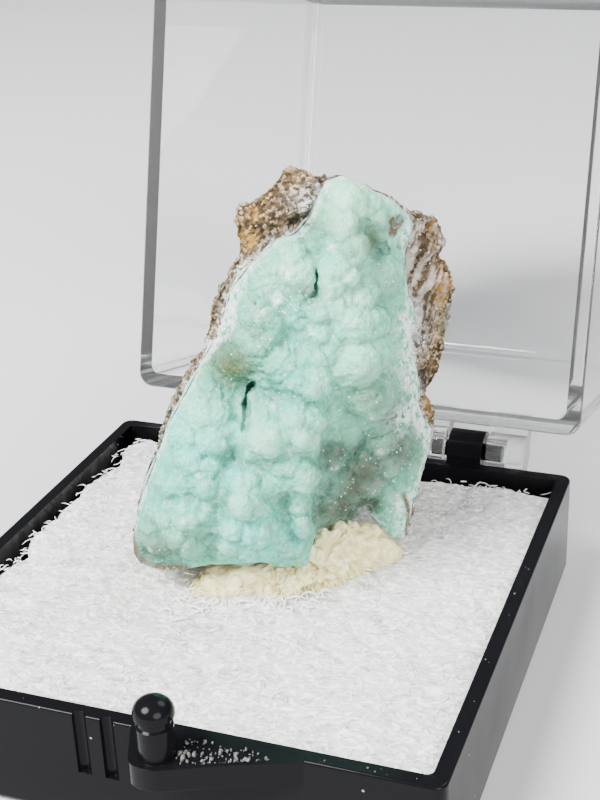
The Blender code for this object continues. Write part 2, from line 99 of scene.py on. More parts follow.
def cellNoise(points, size, salt, flat=False):
    # Every cell holds one random point. Gives each place its distance to the nearest one and to the
    # second nearest, in cells, the nearest one's random number, and the way from it.
    q = points / size
    low = np.floor(q).astype(np.int64)
    nearest = np.full(points.shape[:-1], 9.0)
    second = nearest.copy()
    tag = np.zeros_like(nearest)
    away = np.zeros_like(q)
    for step in np.ndindex(3, 3, 1 if flat else 3):
        cell = low + np.array(step) - (1, 1, 0 if flat else 1)
        spot = randomSpot(cell, salt)
        if flat:
            spot[..., 2] = 0
            cell[..., 2] = 0
        offset = q - cell - spot
        distance = np.sqrt((offset ** 2).sum(axis=-1))
        closer = distance < nearest
        second = np.where(closer, nearest, np.minimum(second, distance))
        tag = np.where(closer, cellRandom(cell, salt + 3), tag)
        away = np.where(closer[..., None], offset, away)
        nearest = np.minimum(nearest, distance)
    return nearest, second, tag, away


def softCaps(points, size, salt, sharpness):
    # Rounded caps that flow together: the soft maximum over the cells around of a random height
    # less the squared distance to the cell's random point.
    q = points / size
    low = np.floor(q).astype(np.int64)
    total = np.full(points.shape[:-1], -9.0)
    for step in np.ndindex(3, 3, 3):
        cell = low + np.array(step) - 1
        spot = randomSpot(cell, salt)
        cap = cellRandom(cell, salt + 3) * 0.5 - 1.6 * ((q - cell - spot) ** 2).sum(axis=-1)
        total = np.logaddexp(total, cap * sharpness)
    return total / sharpness


def smoothStep(low, high, values):
    t = np.clip((values - low) / (high - low), 0, 1)
    return t * t * (3 - 2 * t)


# ---- surfaces

def squareGrid(n):
    # A square from -1 to 1 in n rows of n points: the share of the way from its middle to its edge,
    # and the bearing, which turns evenly round each square ring.
    line = np.linspace(-1, 1, n)
    b, a = np.meshgrid(line, line, indexing="ij")
    flat = abs(a) >= abs(b)
    with np.errstate(all="ignore"):
        turn = np.where(flat, b / a, 2 - a / b) * math.pi / 4
    bearing = np.nan_to_num(turn) + np.where(np.where(flat, a, b) < 0, math.pi, 0)
    return a, b, np.maximum(abs(a), abs(b)), np.mod(bearing, fullTurn)


def gridFaces(n):
    index = np.arange(n * n).reshape(n, n)
    corners = stacked(index[:-1, :-1], index[:-1, 1:], index[1:, 1:], index[1:, :-1])
    return corners.reshape(-1, 4)


def gridRim(n):
    # The grid's outer points in order, anticlockwise.
    index = np.arange(n * n).reshape(n, n)
    return np.concatenate([index[0, :-1], index[:-1, -1], index[-1, :0:-1], index[:0:-1, 0]])


def closeBelow(top, rings, last):
    # Carries the rim of a grid down through rings of points, and draws the last ring in to one.
    n = len(top)
    upper = gridRim(n)
    count = len(upper)
    quads = [gridFaces(n)]
    start = n * n
    for _ in rings:
        lower = start + np.arange(count)
        quads.append(stacked(lower, np.roll(lower, -1), np.roll(upper, -1), upper))
        upper = lower
        start += count
    triangles = stacked(np.roll(upper, -1), upper, np.full(count, start))
    points = np.concatenate([top.reshape(-1, 3)] + list(rings) + [np.reshape(last, (1, 3))])
    return points, np.concatenate(quads), triangles


def weldedGrids(n):
    # The faces of two grids that share their rim: the second adds only its inner points.
    back = np.arange(n * n).reshape(n, n)
    back[1:-1, 1:-1] = n * n + np.arange((n - 2) ** 2).reshape(n - 2, n - 2)
    corners = stacked(back[:-1, :-1], back[1:, :-1], back[1:, 1:], back[:-1, 1:])
    return np.concatenate([gridFaces(n), corners.reshape(-1, 4)])


def pointNormals(points, quads):
    # A face's normal is the cross product of its diagonals, and a point's the sum over its faces.
    a = points[quads[:, 2]] - points[quads[:, 0]]
    b = points[quads[:, 3]] - points[quads[:, 1]]
    faceNormals = np.cross(a, b)
    flat = quads.ravel()
    total = stacked(*[np.bincount(flat, np.repeat(v, 4), len(points)) for v in faceNormals.T])
    return total / np.maximum(np.linalg.norm(total, axis=1, keepdims=True), 1e-12)


def pushed(points, quads, amount):
    # Moves each point out along its normal.
    return points + pointNormals(points, quads) * amount[:, None]


def byOutline(outline, centre, bearing):
    # Distance from a centre to an outline at a bearing, straight between the outline's points, and
    # in the same way whatever else the outline gives for its points.
    edge = np.array(outline)
    offset = edge[:, :2] - centre
    angle = np.mod(np.arctan2(offset[:, 1], offset[:, 0]), fullTurn)
    order = np.argsort(angle)
    values = [np.hypot(*offset[order].T), *edge[order, 2:].T]
    return [np.interp(bearing, angle[order], v, period=fullTurn) for v in values]


def fromCentre(centre, distance, bearing):
    return centre[0] + distance * np.cos(bearing), centre[1] + distance * np.sin(bearing)


noQuads = np.zeros((0, 4), int)


def newPiece(name, points, quads, triangles=None, fields=None):
    # Whole arrays of points, in metres, and faces go into a mesh. Fields are numbers on its points.
    corners = quads.ravel()
    starts = np.arange(len(quads)) * 4
    if triangles is not None:
        starts = np.concatenate([starts, len(corners) + np.arange(len(triangles)) * 3])
        corners = np.concatenate([corners, triangles.ravel()])
    mesh = bpy.data.meshes.new(name)
    mesh.vertices.add(len(points))
    mesh.vertices.foreach_set("co", np.asarray(points, np.float32).ravel())
    mesh.loops.add(len(corners))
    mesh.loops.foreach_set("vertex_index", corners.astype(np.int32))
    mesh.polygons.add(len(starts))
    mesh.polygons.foreach_set("loop_start", starts.astype(np.int32))
    mesh.update(calc_edges=True)
    mesh.shade_smooth()
    for label, values in (fields or {}).items():
        layer = mesh.attributes.new(label, "FLOAT", "POINT")
        layer.data.foreach_set("value", np.clip(values, 0, 1).astype(np.float32))
    piece = bpy.data.objects.new(name, mesh)
    bpy.context.scene.collection.objects.link(piece)
    return piece


# ---- node helpers and shared node groups

def addNode(tree, kind, inputs=None, **settings):
    made = tree.nodes.new("ShaderNode" + kind)
    for label, value in settings.items():
        setattr(made, label, value)
    for socket, value in (inputs or {}).items():
        if isinstance(value, bpy.types.NodeSocket):
            tree.links.new(value, made.inputs[socket])
        else:
            made.inputs[socket].default_value = value
    return made


def mixColour(tree, amount, first, second, blend="MIX"):
    first, second = [(*c, 1) if isinstance(c, tuple) else c for c in (first, second)]
    inputs = {0: amount, 6: first, 7: second}
    return addNode(tree, "Mix", inputs, data_type="RGBA", blend_type=blend).outputs[2]


def maths(tree, operation, first, second=0.0, clamp=False):
    made = addNode(tree, "Math", {0: first, 1: second}, operation=operation, use_clamp=clamp)
    return made.outputs[0]


def times(tree, first, second, clamp=False):
    return maths(tree, "MULTIPLY", first, second, clamp)


def plus(tree, first, second, clamp=False):
    return maths(tree, "ADD", first, second, clamp)


def minus(tree, first, second, clamp=False):
    return maths(tree, "SUBTRACT", first, second, clamp)


def field(tree, label):
    return addNode(tree, "Attribute", attribute_name=label).outputs["Fac"]


def objectPlace(tree):
    return addNode(tree, "TexCoord").outputs["Object"]


def ramp(tree, value, stops):
    made = addNode(tree, "ValToRGB", {0: value})
    bar = made.color_ramp
    while len(bar.elements) < len(stops):
        bar.elements.new(0.5)
    for element, (place, colour) in zip(bar.elements, stops):
        element.position = place
        element.color = (*colour, 1) if isinstance(colour, tuple) else (colour, colour, colour, 1)
    return made.outputs[0]


def newGroup(name, inputs, outputs=("Mask",)):
    # An input of None is a vector. Gives the group, what it is given, and where its results go.
    group = bpy.data.node_groups.new(name, "ShaderNodeTree")
    for label, value in inputs.items():
        kind = "NodeSocketVector" if value is None else "NodeSocketFloat"
        socket = group.interface.new_socket(label, in_out="INPUT", socket_type=kind)
        if value is not None:
            socket.default_value = value
    for label in outputs:
        group.interface.new_socket(label, in_out="OUTPUT", socket_type="NodeSocketFloat")
    given = group.nodes.new("NodeGroupInput").outputs
    return group, given, group.nodes.new("NodeGroupOutput").inputs


def useGroup(tree, group, **inputs):
    return addNode(tree, "Group", inputs, node_tree=group).outputs


def scattered(tree, place, scale, **settings):
    # One random spot to a cell: the texture's outputs, and three random numbers for each cell.
    cells = addNode(tree, "TexVoronoi", {"Vector": place, "Scale": scale}, **settings).outputs
    return cells, addNode(tree, "SeparateColor", {0: cells["Color"]}).outputs


def makeMottle():
    # Soft cloudy variation from 0 to 1, spread by Contrast about one half.
    inputs = {"Place": None, "Scale": 500.0, "Detail": 4.0, "Contrast": 2.0}
    group, given, out = newGroup("mottle", inputs)
    looks = {"Vector": given["Place"], "Scale": given["Scale"], "Detail": given["Detail"]}
    noise = addNode(group, "TexNoise", looks).outputs["Fac"]
    spread = times(group, minus(group, noise, 0.5), given["Contrast"])
    group.links.new(plus(group, spread, 0.5, clamp=True), out["Mask"])
    return group


def makeSparkle():
    # Picks a share of small random cells, and shows each as a dot about its middle.
    group, given, out = newGroup("sparkle", {"Place": None, "Scale": 5000.0, "Share": 0.05})
    cells, random = scattered(group, given["Place"], given["Scale"])
    chosen = maths(group, "LESS_THAN", random[0], given["Share"])
    dot = maths(group, "LESS_THAN", cells["Distance"], 0.34)
    group.links.new(times(group, chosen, dot), out["Mask"])
    return group


def makeGrain():
    # Rounded grains of two sizes with fine noise between them, as a height from 0 to about 1, and
    # a random tone for each larger grain.
    inputs = {"Place": None, "Scale": 3000.0, "Fine": 0.4}
    group, given, out = newGroup("grain", inputs, ("Height", "Tone"))
    large, random = scattered(group, given["Place"], given["Scale"])
    smallScale = times(group, given["Scale"], 2.7)
    small, _ = scattered(group, given["Place"], smallScale)
    looks = {"Vector": given["Place"], "Scale": smallScale, "Detail": 3.0}
    noise = addNode(group, "TexNoise", looks).outputs["Fac"]
    weighted = times(group, minus(group, noise, small["Distance"]), given["Fine"])
    body = minus(group, 0.8, large["Distance"])
    group.links.new(plus(group, body, weighted), out["Height"])
    group.links.new(random[1], out["Tone"])
    return group


def makeFleck():
    # Dust and rubbed specks: sparse dots of many sizes, 1 on a speck and 0 between.
    group, given, out = newGroup("fleck", {"Place": None, "Scale": 1500.0, "Share": 0.03})
    cells, random = scattered(group, given["Place"], given["Scale"])
    inside = maths(group, "LESS_THAN", cells["Distance"], times(group, random[1], 0.28))
    chosen = maths(group, "LESS_THAN", random[0], given["Share"])
    group.links.new(times(group, inside, chosen), out["Mask"])
    return group


def makeFelt():
    # Curved marks, one to a cell: the way from the cell's random point is turned by a random angle
    # and bent, and the mark is where it lies inside a thin ellipse. 1 on the marks, 0 between.
    inputs = {"Place": None, "Scale": 1800.0, "Share": 0.7, "Width": 0.1}
    group, given, out = newGroup("felt", inputs)
    place, scale = given["Place"], given["Scale"]
    cells, random = scattered(group, place, scale, voronoi_dimensions="2D")
    away = addNode(group, "VectorMath", {0: place, 1: cells["Position"]}, operation="SUBTRACT")
    scaled = addNode(group, "VectorMath", {0: away.outputs[0], "Scale": scale}, operation="SCALE")
    x, y, _ = addNode(group, "SeparateXYZ", {0: scaled.outputs[0]}).outputs
    angle = times(group, random[0], fullTurn)
    cosine, sine = maths(group, "COSINE", angle), maths(group, "SINE", angle)
    along = plus(group, times(group, x, cosine), times(group, y, sine))
    across = minus(group, times(group, y, cosine), times(group, x, sine))
    squared = times(group, along, along)
    curl = times(group, minus(group, random[1], 0.5), 2.2)
    bent = plus(group, across, times(group, squared, curl))
    thin = maths(group, "DIVIDE", bent, given["Width"])
    inside = plus(group, times(group, squared, 5.0), times(group, thin, thin))
    mark = times(group, minus(group, 1.0, inside), 1.8, clamp=True)
    chosen = maths(group, "LESS_THAN", random[2], given["Share"])
    group.links.new(times(group, mark, chosen), out["Mask"])
    return group


mottle, sparkle, grain, fleck = makeMottle(), makeSparkle(), makeGrain(), makeFleck()
felt = makeFelt()


def cloudy(tree, place, scale, detail, contrast):
    looks = {"Scale": scale, "Detail": detail, "Contrast": contrast}
    return useGroup(tree, mottle, Place=place, **looks)["Mask"]


def dotted(tree, dots, place, scale, share):
    return useGroup(tree, dots, Place=place, Scale=scale, Share=share)["Mask"]


def newMaterial(name, constants=None):
    material = bpy.data.materials.new(name)
    material.use_nodes = True
    shader = material.node_tree.nodes["Principled BSDF"]
    for label, value in (constants or {}).items():
        shader.inputs[label].default_value = value
    return material, material.node_tree, shader


def tinted(tree, base, tints, blend="MIX"):
    # Lays colours over a base in turn, each as far as its field on the mesh times its strength.
    for label, strength, colour in tints:
        base = mixColour(tree, times(tree, field(tree, label), strength), base, colour, blend)
    return base


def bump(tree, shader, height, strength, distance):
    made = addNode(tree, "Bump", {"Height": height, "Strength": strength, "Distance": distance})
    tree.links.new(made.outputs["Normal"], shader.inputs["Normal"])


print("noise, surface and node tools ready")


# ---- the stone: its outline and its place, in mm as (across, up, forward) when looked at squarely

stone = {
    "stand": (2.0, -0.6, 6.1),
    "turn": 27,
    "lean": 9,
    "centre": (1.6, 12.5),
    "shoulder": 3.2,
    "ragged": 0.1,
    "edge": [
        (10.9, 13.0, -3.5), (11.3, 14.6, -3.5), (11.5, 15.7, -3.5), (11.1, 17.3, -3.5),
        (10.7, 17.6, -3.5), (11.2, 18.4, -3.5), (10.7, 19.8, -3.5), (9.0, 20.4, -3.0),
        (7.8, 21.3, -2.0), (6.1, 22.3, -1.5), (5.1, 22.8, -1.5), (3.5, 22.8, -1.8),
        (2.2, 23.4, -2.5), (1.1, 22.3, -2.5), (0.3, 21.5, -2.5), (-0.7, 21.4, -2.5),
        (-0.7, 18.6, -2.5), (-1.6, 17.4, -2.3), (-2.6, 15.9, -2.1), (-3.2, 13.5, -1.7),
        (-4.8, 11.4, -1.2), (-6.3, 8.3, -1.0), (-7.4, 5.7, -1.0), (-8.1, 3.2, -0.8),
        (-7.8, 1.8, -0.4), (-6.3, 1.3, 0.2), (-3.9, 1.8, 0.8), (-1.0, 1.8, 1.1), (1.6, 1.2, 1.1),
        (2.1, 2.5, 0.3), (2.5, 2.9, -0.3), (3.5, 2.95, -0.8), (4.6, 2.95, -1.2),
        (5.0, 3.1, -1.35), (5.35, 3.4, -1.6), (5.8, 2.8, -1.65), (6.3, 2.1, -1.65),
        (7.0, 1.35, -1.6), (7.8, 1.3, -1.7), (8.5, 3.2, -2.2), (9.0, 4.7, -2.5), (9.5, 6.3, -2.8),
        (10.2, 8.5, -3.2), (9.4, 9.6, -3.5), (10.4, 10.7, -3.5),
    ],
    "crustEdge": [
        (-7.8, 1.8, -0.4), (-8.1, 2.4, -0.6), (-8.1, 3.2, -0.8), (-7.4, 5.7, -1.0),
        (-6.2, 8.3, -1.0), (-5.5, 9.9, -1.0), (-4.6, 11.3, -1.0), (-3.7, 12.7, -1.1),
        (-2.6, 14.4, -1.2), (-2.0, 15.6, -1.3), (-1.5, 17.1, -1.4), (-0.6, 18.1, -1.5),
        (0.2, 18.8, -1.5), (1.2, 19.6, -1.5), (2.2, 19.9, -1.4), (3.0, 20.7, -1.4),
        (3.6, 21.7, -1.5), (4.1, 22.6, -1.5), (5.1, 22.8, -1.5), (6.1, 22.3, -1.5),
        (6.7, 21.9, -1.5), (7.6, 21.3, -1.8), (8.1, 20.9, -2.1), (8.8, 20.2, -2.6),
        (9.0, 19.6, -2.6), (8.4, 18.4, -2.1), (8.3, 17.3, -1.9), (8.4, 16.6, -1.8),
        (8.5, 15.8, -1.9), (8.8, 14.9, -2.0), (8.5, 13.3, -1.9), (8.6, 12.5, -2.0),
        (8.9, 11.3, -2.2), (8.9, 9.3, -2.3), (9.3, 8.3, -2.6), (9.7, 7.6, -2.8), (9.5, 6.3, -2.8),
        (8.95, 4.8, -2.4), (8.4, 3.3, -2.1), (8.0, 2.2, -1.8), (7.7, 1.35, -1.65),
        (7.0, 1.35, -1.6), (6.3, 2.1, -1.65), (5.8, 2.8, -1.65), (5.35, 3.4, -1.6),
        (5.0, 3.1, -1.35), (4.6, 2.95, -1.2), (3.5, 2.95, -0.8), (2.5, 2.9, -0.3),
        (2.1, 2.5, 0.3), (1.6, 1.2, 1.1), (-1.0, 1.8, 1.1), (-3.9, 1.8, 0.8), (-6.3, 1.3, 0.2),
    ],
    "backPlanes": [
        (0.0, 0.05, -7.6), (0.35, -0.1, -7.0), (-0.3, 0.05, -7.8), (0.05, 0.35, -8.4),
        (0.0, -0.4, -9.0),
    ],
}


def stonePlace(across, up, forward):
    # From the stone's own millimetres to metres in the world: turned about Z, and leaning back.
    turn, lean = np.radians([stone["turn"], stone["lean"]])
    upright = np.array([0, 0, 1])
    right = np.array([math.cos(turn), math.sin(turn), 0])
    level = np.array([math.sin(turn), -math.cos(turn), 0])
    face = math.cos(lean) * level + math.sin(lean) * upright
    height = math.cos(lean) * upright - math.sin(lean) * level
    place = across[..., None] * right + up[..., None] * height + forward[..., None] * face
    return (place + np.array(stone["stand"])) * mm


def outlineAt(outline, bearing):
    # Distance from the stone's centre to an outline, a little ragged, and the outline's forward
    # reach, at a bearing.
    distance, reach = byOutline(outline, stone["centre"], bearing)
    circle = flatPoints(*fromCentre((0, 0), 9, bearing))
    return distance + stone["ragged"] * layeredNoise(circle, 1.3, 3, 77), reach


def gentleReach(outline, bearing, share):
    # An outline's distance, evened out over 30 degrees in the middle and true at the rim, so that
    # the grid does not shear where the outline steps.
    true, _ = outlineAt(outline, bearing)
    turns = np.radians(np.linspace(-15, 15, 13))
    even = np.mean([outlineAt(outline, np.mod(bearing + t, fullTurn))[0] for t in turns], axis=0)
    return even + (true - even) * share ** 6


def byBearing(bearing, marks):
    # A value that runs straight between marks given as (degrees, value) round the stone.
    degrees, values = np.array(marks).T
    return np.interp(np.degrees(bearing), degrees, values, period=360)


def bell(across, up, x, z, radius, strength):
    # A round soft spot: its strength times the bell curve of the distance over its radius.
    return strength * np.exp(-((across - x) ** 2 + (up - z) ** 2) / radius ** 2)


def blobs(across, up, spots):
    # The highest of nothing and of some spots, each (across, up, radius, strength).
    return np.max([np.zeros_like(across)] + [bell(across, up, *spot) for spot in spots], axis=0)


def alongLine(across, up, line):
    # Distance to a line drawn through points (across, up).
    nearest = np.full_like(across, 99.0)
    for (x0, z0), (x1, z1) in zip(line[:-1], line[1:]):
        dx, dz = x1 - x0, z1 - z0
        t = np.clip(((across - x0) * dx + (up - z0) * dz) / (dx * dx + dz * dz), 0, 1)
        nearest = np.minimum(nearest, np.hypot(across - x0 - t * dx, up - z0 - t * dz))
    return nearest


def outlineDistance(across, up, outline):
    # Distance to an outline, as a closed line.
    line = [spot[:2] for spot in outline]
    return alongLine(across, up, line + line[:1])


def rounding(inward):
    # A quarter circle that rises from the outline, over the stone's rounded shoulder.
    return np.sqrt(1 - (1 - np.clip(inward / stone["shoulder"], 0, 1)) ** 2)


def ease(share):
    # Half even steps, half a sine, so that the rings crowd towards the rim.
    return 0.5 * share + 0.5 * np.sin(share * math.pi / 2)


# ---- the crust of hemimorphite

crust = {
    "cells": 285,
    "lobes": [  # (across, up, summit forward, radius)
        (1.6, 19.4, 2.0, 1.0), (1.4, 18.2, 2.3, 1.3), (0.1, 16.9, 2.0, 1.6),
        (-0.4, 15.0, 1.2, 1.3), (-2.0, 13.2, 0.8, 1.3), (5.0, 21.7, 0.4, 1.4),
        (4.3, 20.1, 1.6, 1.4), (4.6, 18.5, 2.2, 1.4), (3.7, 17.1, 2.6, 1.5),
        (6.8, 17.1, 1.2, 1.4), (4.5, 15.2, 3.0, 1.5), (2.6, 15.8, 2.8, 1.4),
        (4.9, 13.2, 3.0, 1.4), (2.3, 12.6, 3.4, 1.6), (0.6, 13.7, 2.8, 1.4),
        (5.6, 11.2, 2.4, 1.5), (-0.5, 9.6, 3.6, 1.1), (1.5, 9.8, 3.8, 1.1),
        (-3.7, 10.2, 2.4, 2.4), (-4.6, 8.1, 2.6, 2.2), (-6.2, 5.3, 2.0, 1.9),
        (-4.9, 4.3, 2.4, 1.6), (-1.6, 6.3, 4.0, 1.1), (-1.7, 4.1, 3.6, 2.1), (1.1, 7.3, 3.4, 1.1),
        (1.3, 4.6, 2.8, 1.3), (3.6, 8.7, 0.7, 0.8), (4.4, 7.9, 0.4, 0.6), (3.6, 6.7, 0.2, 0.7),
        (5.7, 7.8, 0.4, 0.9), (6.8, 6.3, -0.2, 0.8), (5.5, 5.3, -0.2, 0.8), (3.0, 5.6, 0.2, 0.6),
        (3.7, 3.9, -0.6, 0.5), (7.6, 8.2, 0.0, 1.2), (7.9, 10.2, 0.4, 1.0), (-2.5, 9.0, 2.2, 2.4),
        (0.3, 14.0, 1.9, 2.4), (0.4, 8.3, 3.1, 2.0), (3.4, 11.0, 2.3, 2.4), (-3.2, 5.6, 2.4, 2.2),
        (1.4, 15.6, 2.0, 2.2), (0.9, 2.4, 2.1, 1.6), (-3.2, 2.6, 2.0, 1.8), (4.9, 6.2, 0.4, 2.6),
        (3.3, 5.4, 0.5, 1.8),
    ],
    "floor": -0.6,
    "sharpness": 3.2,  # of the soft maximum between lobes
    "drift": (0.22, 1.6),  # how far the grid is shaken, and over what length
    "cracks": [  # (line, width, depth)
        ([(-0.85, 12.2), (-1.05, 11.7)], 0.09, 0.7), ([(-1.05, 11.8), (-1.35, 10.9)], 0.11, 0.9),
        ([(-1.3, 11.1), (-1.5, 10.0)], 0.13, 0.8), ([(-1.2, 11.7), (-1.75, 10.5)], 0.42, 0.6),
        ([(-1.5, 10.2), (-2.5, 8.6), (-2.8, 7.4)], 0.5, 0.3),
        ([(2.95, 18.2), (2.9, 17.4)], 0.13, 0.8), ([(2.9, 17.4), (2.45, 16.7)], 0.12, 0.5),
        ([(2.9, 17.3), (2.5, 16.8), (2.1, 15.9), (1.9, 15.2), (0.5, 14.5), (-0.8, 13.0)],
         0.45, 0.35),
        ([(5.6, 20.1), (6.3, 19.7), (6.75, 18.7)], 0.55, 1.1),
        ([(2.9, 9.6), (2.7, 7.4), (2.4, 5.7), (2.3, 4.4)], 0.4, 0.5),
        ([(-1.1, 7.6), (0.3, 5.2), (1.0, 3.0)], 0.45, 0.35),
        ([(-2.9, 6.6), (-3.6, 4.4), (-3.9, 2.4)], 0.5, 0.45),
    ],
    "knobs": [  # (across, up, radius): rounded knobs that stand out of the lobes
        (0.5, 19.0, 1.2), (1.7, 19.2, 1.1), (2.2, 18.0, 1.1), (1.3, 18.4, 0.6), (-0.1, 17.6, 1.3),
        (0.7, 17.0, 0.8), (-0.3, 15.9, 1.6), (-1.0, 14.6, 1.2), (0.2, 15.0, 0.9),
        (-1.9, 13.3, 1.2), (-0.8, 13.6, 0.8), (5.2, 22.0, 1.6), (6.4, 21.4, 1.0),
        (4.3, 20.4, 1.5), (4.0, 19.6, 0.9), (5.0, 19.3, 1.1), (6.8, 20.4, 0.9), (7.0, 17.3, 1.4),
        (3.9, 18.6, 1.2), (4.7, 17.9, 0.9), (5.7, 16.9, 1.1), (3.6, 17.4, 0.9), (2.7, 16.2, 0.9),
        (3.7, 16.2, 0.9), (4.7, 15.2, 1.4), (6.1, 15.2, 1.1), (2.7, 14.9, 0.9), (3.4, 14.1, 1.0),
        (4.7, 13.2, 1.8), (6.2, 13.8, 1.1), (2.3, 13.9, 1.0), (0.7, 13.5, 1.1), (1.4, 12.6, 0.9),
        (2.4, 12.4, 1.3), (1.1, 11.1, 1.1), (-0.1, 11.3, 0.9), (-0.3, 9.6, 1.35), (1.6, 9.5, 1.1),
        (1.0, 10.4, 0.8), (2.4, 10.7, 1.0), (0.6, 8.0, 1.0), (1.5, 7.2, 1.2), (-0.1, 6.9, 0.9),
        (-1.5, 8.6, 0.6), (-1.3, 7.6, 0.6), (5.5, 11.1, 1.8), (4.3, 12.1, 0.6), (6.3, 8.0, 1.4),
        (7.5, 8.9, 1.0), (4.2, 8.7, 1.1), (3.5, 7.5, 1.0), (5.1, 7.0, 1.1), (6.7, 6.5, 1.1),
        (5.5, 5.4, 1.2), (3.8, 5.8, 1.0), (3.0, 4.8, 0.8), (4.5, 4.7, 0.7), (6.3, 4.6, 0.9),
        (7.4, 7.2, 0.9), (8.0, 5.8, 0.9), (-3.1, 12.4, 1.1), (-4.0, 10.9, 1.3), (-2.8, 11.0, 0.9),
        (-5.1, 9.6, 1.1), (-3.4, 9.5, 1.1), (-4.7, 8.4, 1.1), (-3.4, 7.9, 0.9), (-4.0, 7.0, 1.1),
        (-5.8, 6.8, 1.1), (-6.5, 5.3, 1.0), (-5.1, 5.4, 1.2), (-3.9, 5.4, 0.8), (-5.8, 3.9, 1.0),
        (-4.9, 3.2, 1.0), (-6.8, 3.0, 0.9), (-7.3, 4.2, 0.6), (-2.0, 6.1, 0.9), (-2.6, 4.7, 0.9),
        (-1.4, 4.4, 1.1), (-2.9, 3.3, 0.8), (-1.9, 3.0, 0.8), (-0.7, 3.0, 0.8), (1.2, 5.6, 1.0),
        (1.4, 4.0, 1.0), (0.8, 2.6, 0.8),
    ],
    "knobHeight": 0.44,  # of a knob's radius
    "knobReach": 0.86,  # of the radius listed
    "knobSharpness": 15.0,
    "knobWarp": (0.16, 0.75),
    "creaseWidth": 0.09,
    "creaseDepth": 0.05,
    "hold": 0.45,  # the knobs fade out this near to the edge
    "bumps": [  # (size, height)
        (0.95, 0.085), (0.46, 0.05), (0.22, 0.03),
    ],
    "whiteEdge": [  # (bearing, strength)
        (0, 1.0), (20, 1.0), (30, 0.6), (38, 0.35), (65, 0.4), (75, 0.5), (88, 0.4), (100, 0.6),
        (112, 0.9), (150, 0.9), (165, 0.6), (178, 0.5), (190, 0.5), (220, 0.5), (229, 0.1),
        (250, 0.0), (285, 0.1), (294, 0.4), (305, 0.8), (317, 0.7), (330, 0.9), (345, 1.0),
    ],
    "whiteWidth": [
        (0, 1.5), (20, 1.2), (30, 0.6), (38, 0.3), (65, 0.3), (75, 0.3), (100, 0.5), (112, 0.6),
        (150, 0.6), (165, 0.4), (178, 0.22), (210, 0.18), (250, 0.2), (294, 0.5), (305, 1.0),
        (317, 0.6), (330, 0.9), (345, 1.4),
    ],
    "frost": [  # painted highlights: bright white spots where glassy faces catch the light
        (1.3, 18.3, 0.26, 0.8), (0.7, 16.9, 0.28, 0.9), (-0.5, 15.9, 0.2, 0.7),
        (-0.1, 16.3, 0.18, 0.8), (3.8, 19.4, 0.2, 0.8), (4.4, 17.9, 0.2, 0.7),
        (5.8, 20.9, 0.18, 0.7), (1.1, 13.5, 0.16, 0.6), (2.4, 15.1, 0.15, 0.5),
        (0.1, 11.3, 0.16, 0.7), (0.8, 8.9, 0.18, 0.7), (2.3, 9.5, 0.15, 0.6),
        (2.6, 12.5, 0.15, 0.6), (-4.2, 7.6, 0.16, 0.6), (-6.0, 5.8, 0.15, 0.6),
        (-5.2, 5.1, 0.15, 0.6), (0.5, 2.3, 0.2, 0.8), (6.1, 7.5, 0.18, 0.6), (7.5, 8.2, 0.2, 0.7),
        (3.6, 7.0, 0.15, 0.5), (-7.2, 2.9, 0.15, 0.6), (5.4, 10.1, 0.15, 0.5),
    ],
    "olive": [  # stains, as (across, up, radius, strength)
        (-1.9, 13.2, 1.5, 1.0), (-0.3, 14.9, 1.0, 0.4), (6.2, 19.3, 0.8, 0.7),
        (3.4, 20.5, 0.9, 0.4), (2.6, 4.6, 0.9, 0.6), (-6.6, 3.2, 1.2, 0.5),
        (-5.0, 3.8, 1.3, 0.35), (2.2, 17.2, 0.9, 0.5), (0.4, 16.0, 1.0, 0.35),
        (5.0, 19.4, 0.8, 0.4), (0.6, 16.6, 2.4, 0.13), (-5.9, 3.9, 1.9, 0.2),
        (-3.6, 3.4, 1.0, 0.25), (5.9, 10.9, 2.2, 0.14),
    ],
    # Painted shade with a grey-green tint: darkens the recessed lower right of the crust
    "grey": [
        (5.2, 6.4, 2.3, 1.0), (7.4, 7.2, 1.9, 0.9), (3.6, 7.8, 1.3, 0.9), (6.9, 9.6, 1.6, 0.75),
        (3.9, 4.2, 1.8, 1.0), (5.4, 4.2, 1.2, 0.8), (5.6, 11.2, 1.5, 0.6), (4.6, 5.4, 1.8, 1.0),
        (-6.9, 2.8, 1.2, 0.5), (6.9, 17.2, 1.1, 0.35),
    ],
    "shade": [  # painted shade: the undercut above the notch, and dark recesses and gaps elsewhere
        (5.4, 3.8, 0.7, 1.6), (4.6, 3.35, 0.6, 1.2), (3.8, 3.2, 0.5, 0.9), (3.0, 3.2, 0.45, 1.2),
        (2.5, 3.4, 0.4, 1.0), (5.9, 3.6, 0.4, 1.0), (3.0, 6.0, 0.5, 0.5), (4.4, 4.2, 0.9, 0.45),
        (2.7, 5.0, 0.4, 0.5), (2.9, 7.2, 0.4, 0.35), (6.4, 19.3, 0.5, 0.45),
        (6.9, 18.6, 0.3, 0.4), (2.85, 20.45, 0.3, 1.0), (2.2, 20.05, 0.3, 1.0),
    ],
    "blue": [
        (-4.6, 9.8, 3.2, 1.0), (-5.4, 6.0, 1.8, 0.7), (-2.0, 4.6, 1.9, 1.0),
        (-1.0, 3.0, 1.6, 0.9), (2.2, 15.2, 1.8, 0.9), (1.2, 12.6, 1.5, 0.7),
        (3.6, 18.0, 1.1, 0.6), (1.0, 3.6, 1.3, 0.9), (-0.3, 9.5, 1.2, 0.6), (8.0, 20.6, 1.2, 0.7),
        (0.6, 7.6, 1.2, 0.5), (-2.4, 7.6, 1.2, 0.9), (0.3, 11.6, 1.7, 0.6),
    ],
    "pale": [
        (5.2, 21.6, 1.9, 1.0), (4.4, 17.2, 1.6, 0.8), (1.6, 18.6, 1.2, 0.7),
        (6.8, 20.6, 1.3, 0.8), (4.7, 13.6, 1.8, 0.5), (-4.4, 11.0, 1.5, 0.5),
        (2.8, 15.0, 1.2, 0.4), (-0.3, 9.7, 1.0, 0.5),
    ],
    "white": [
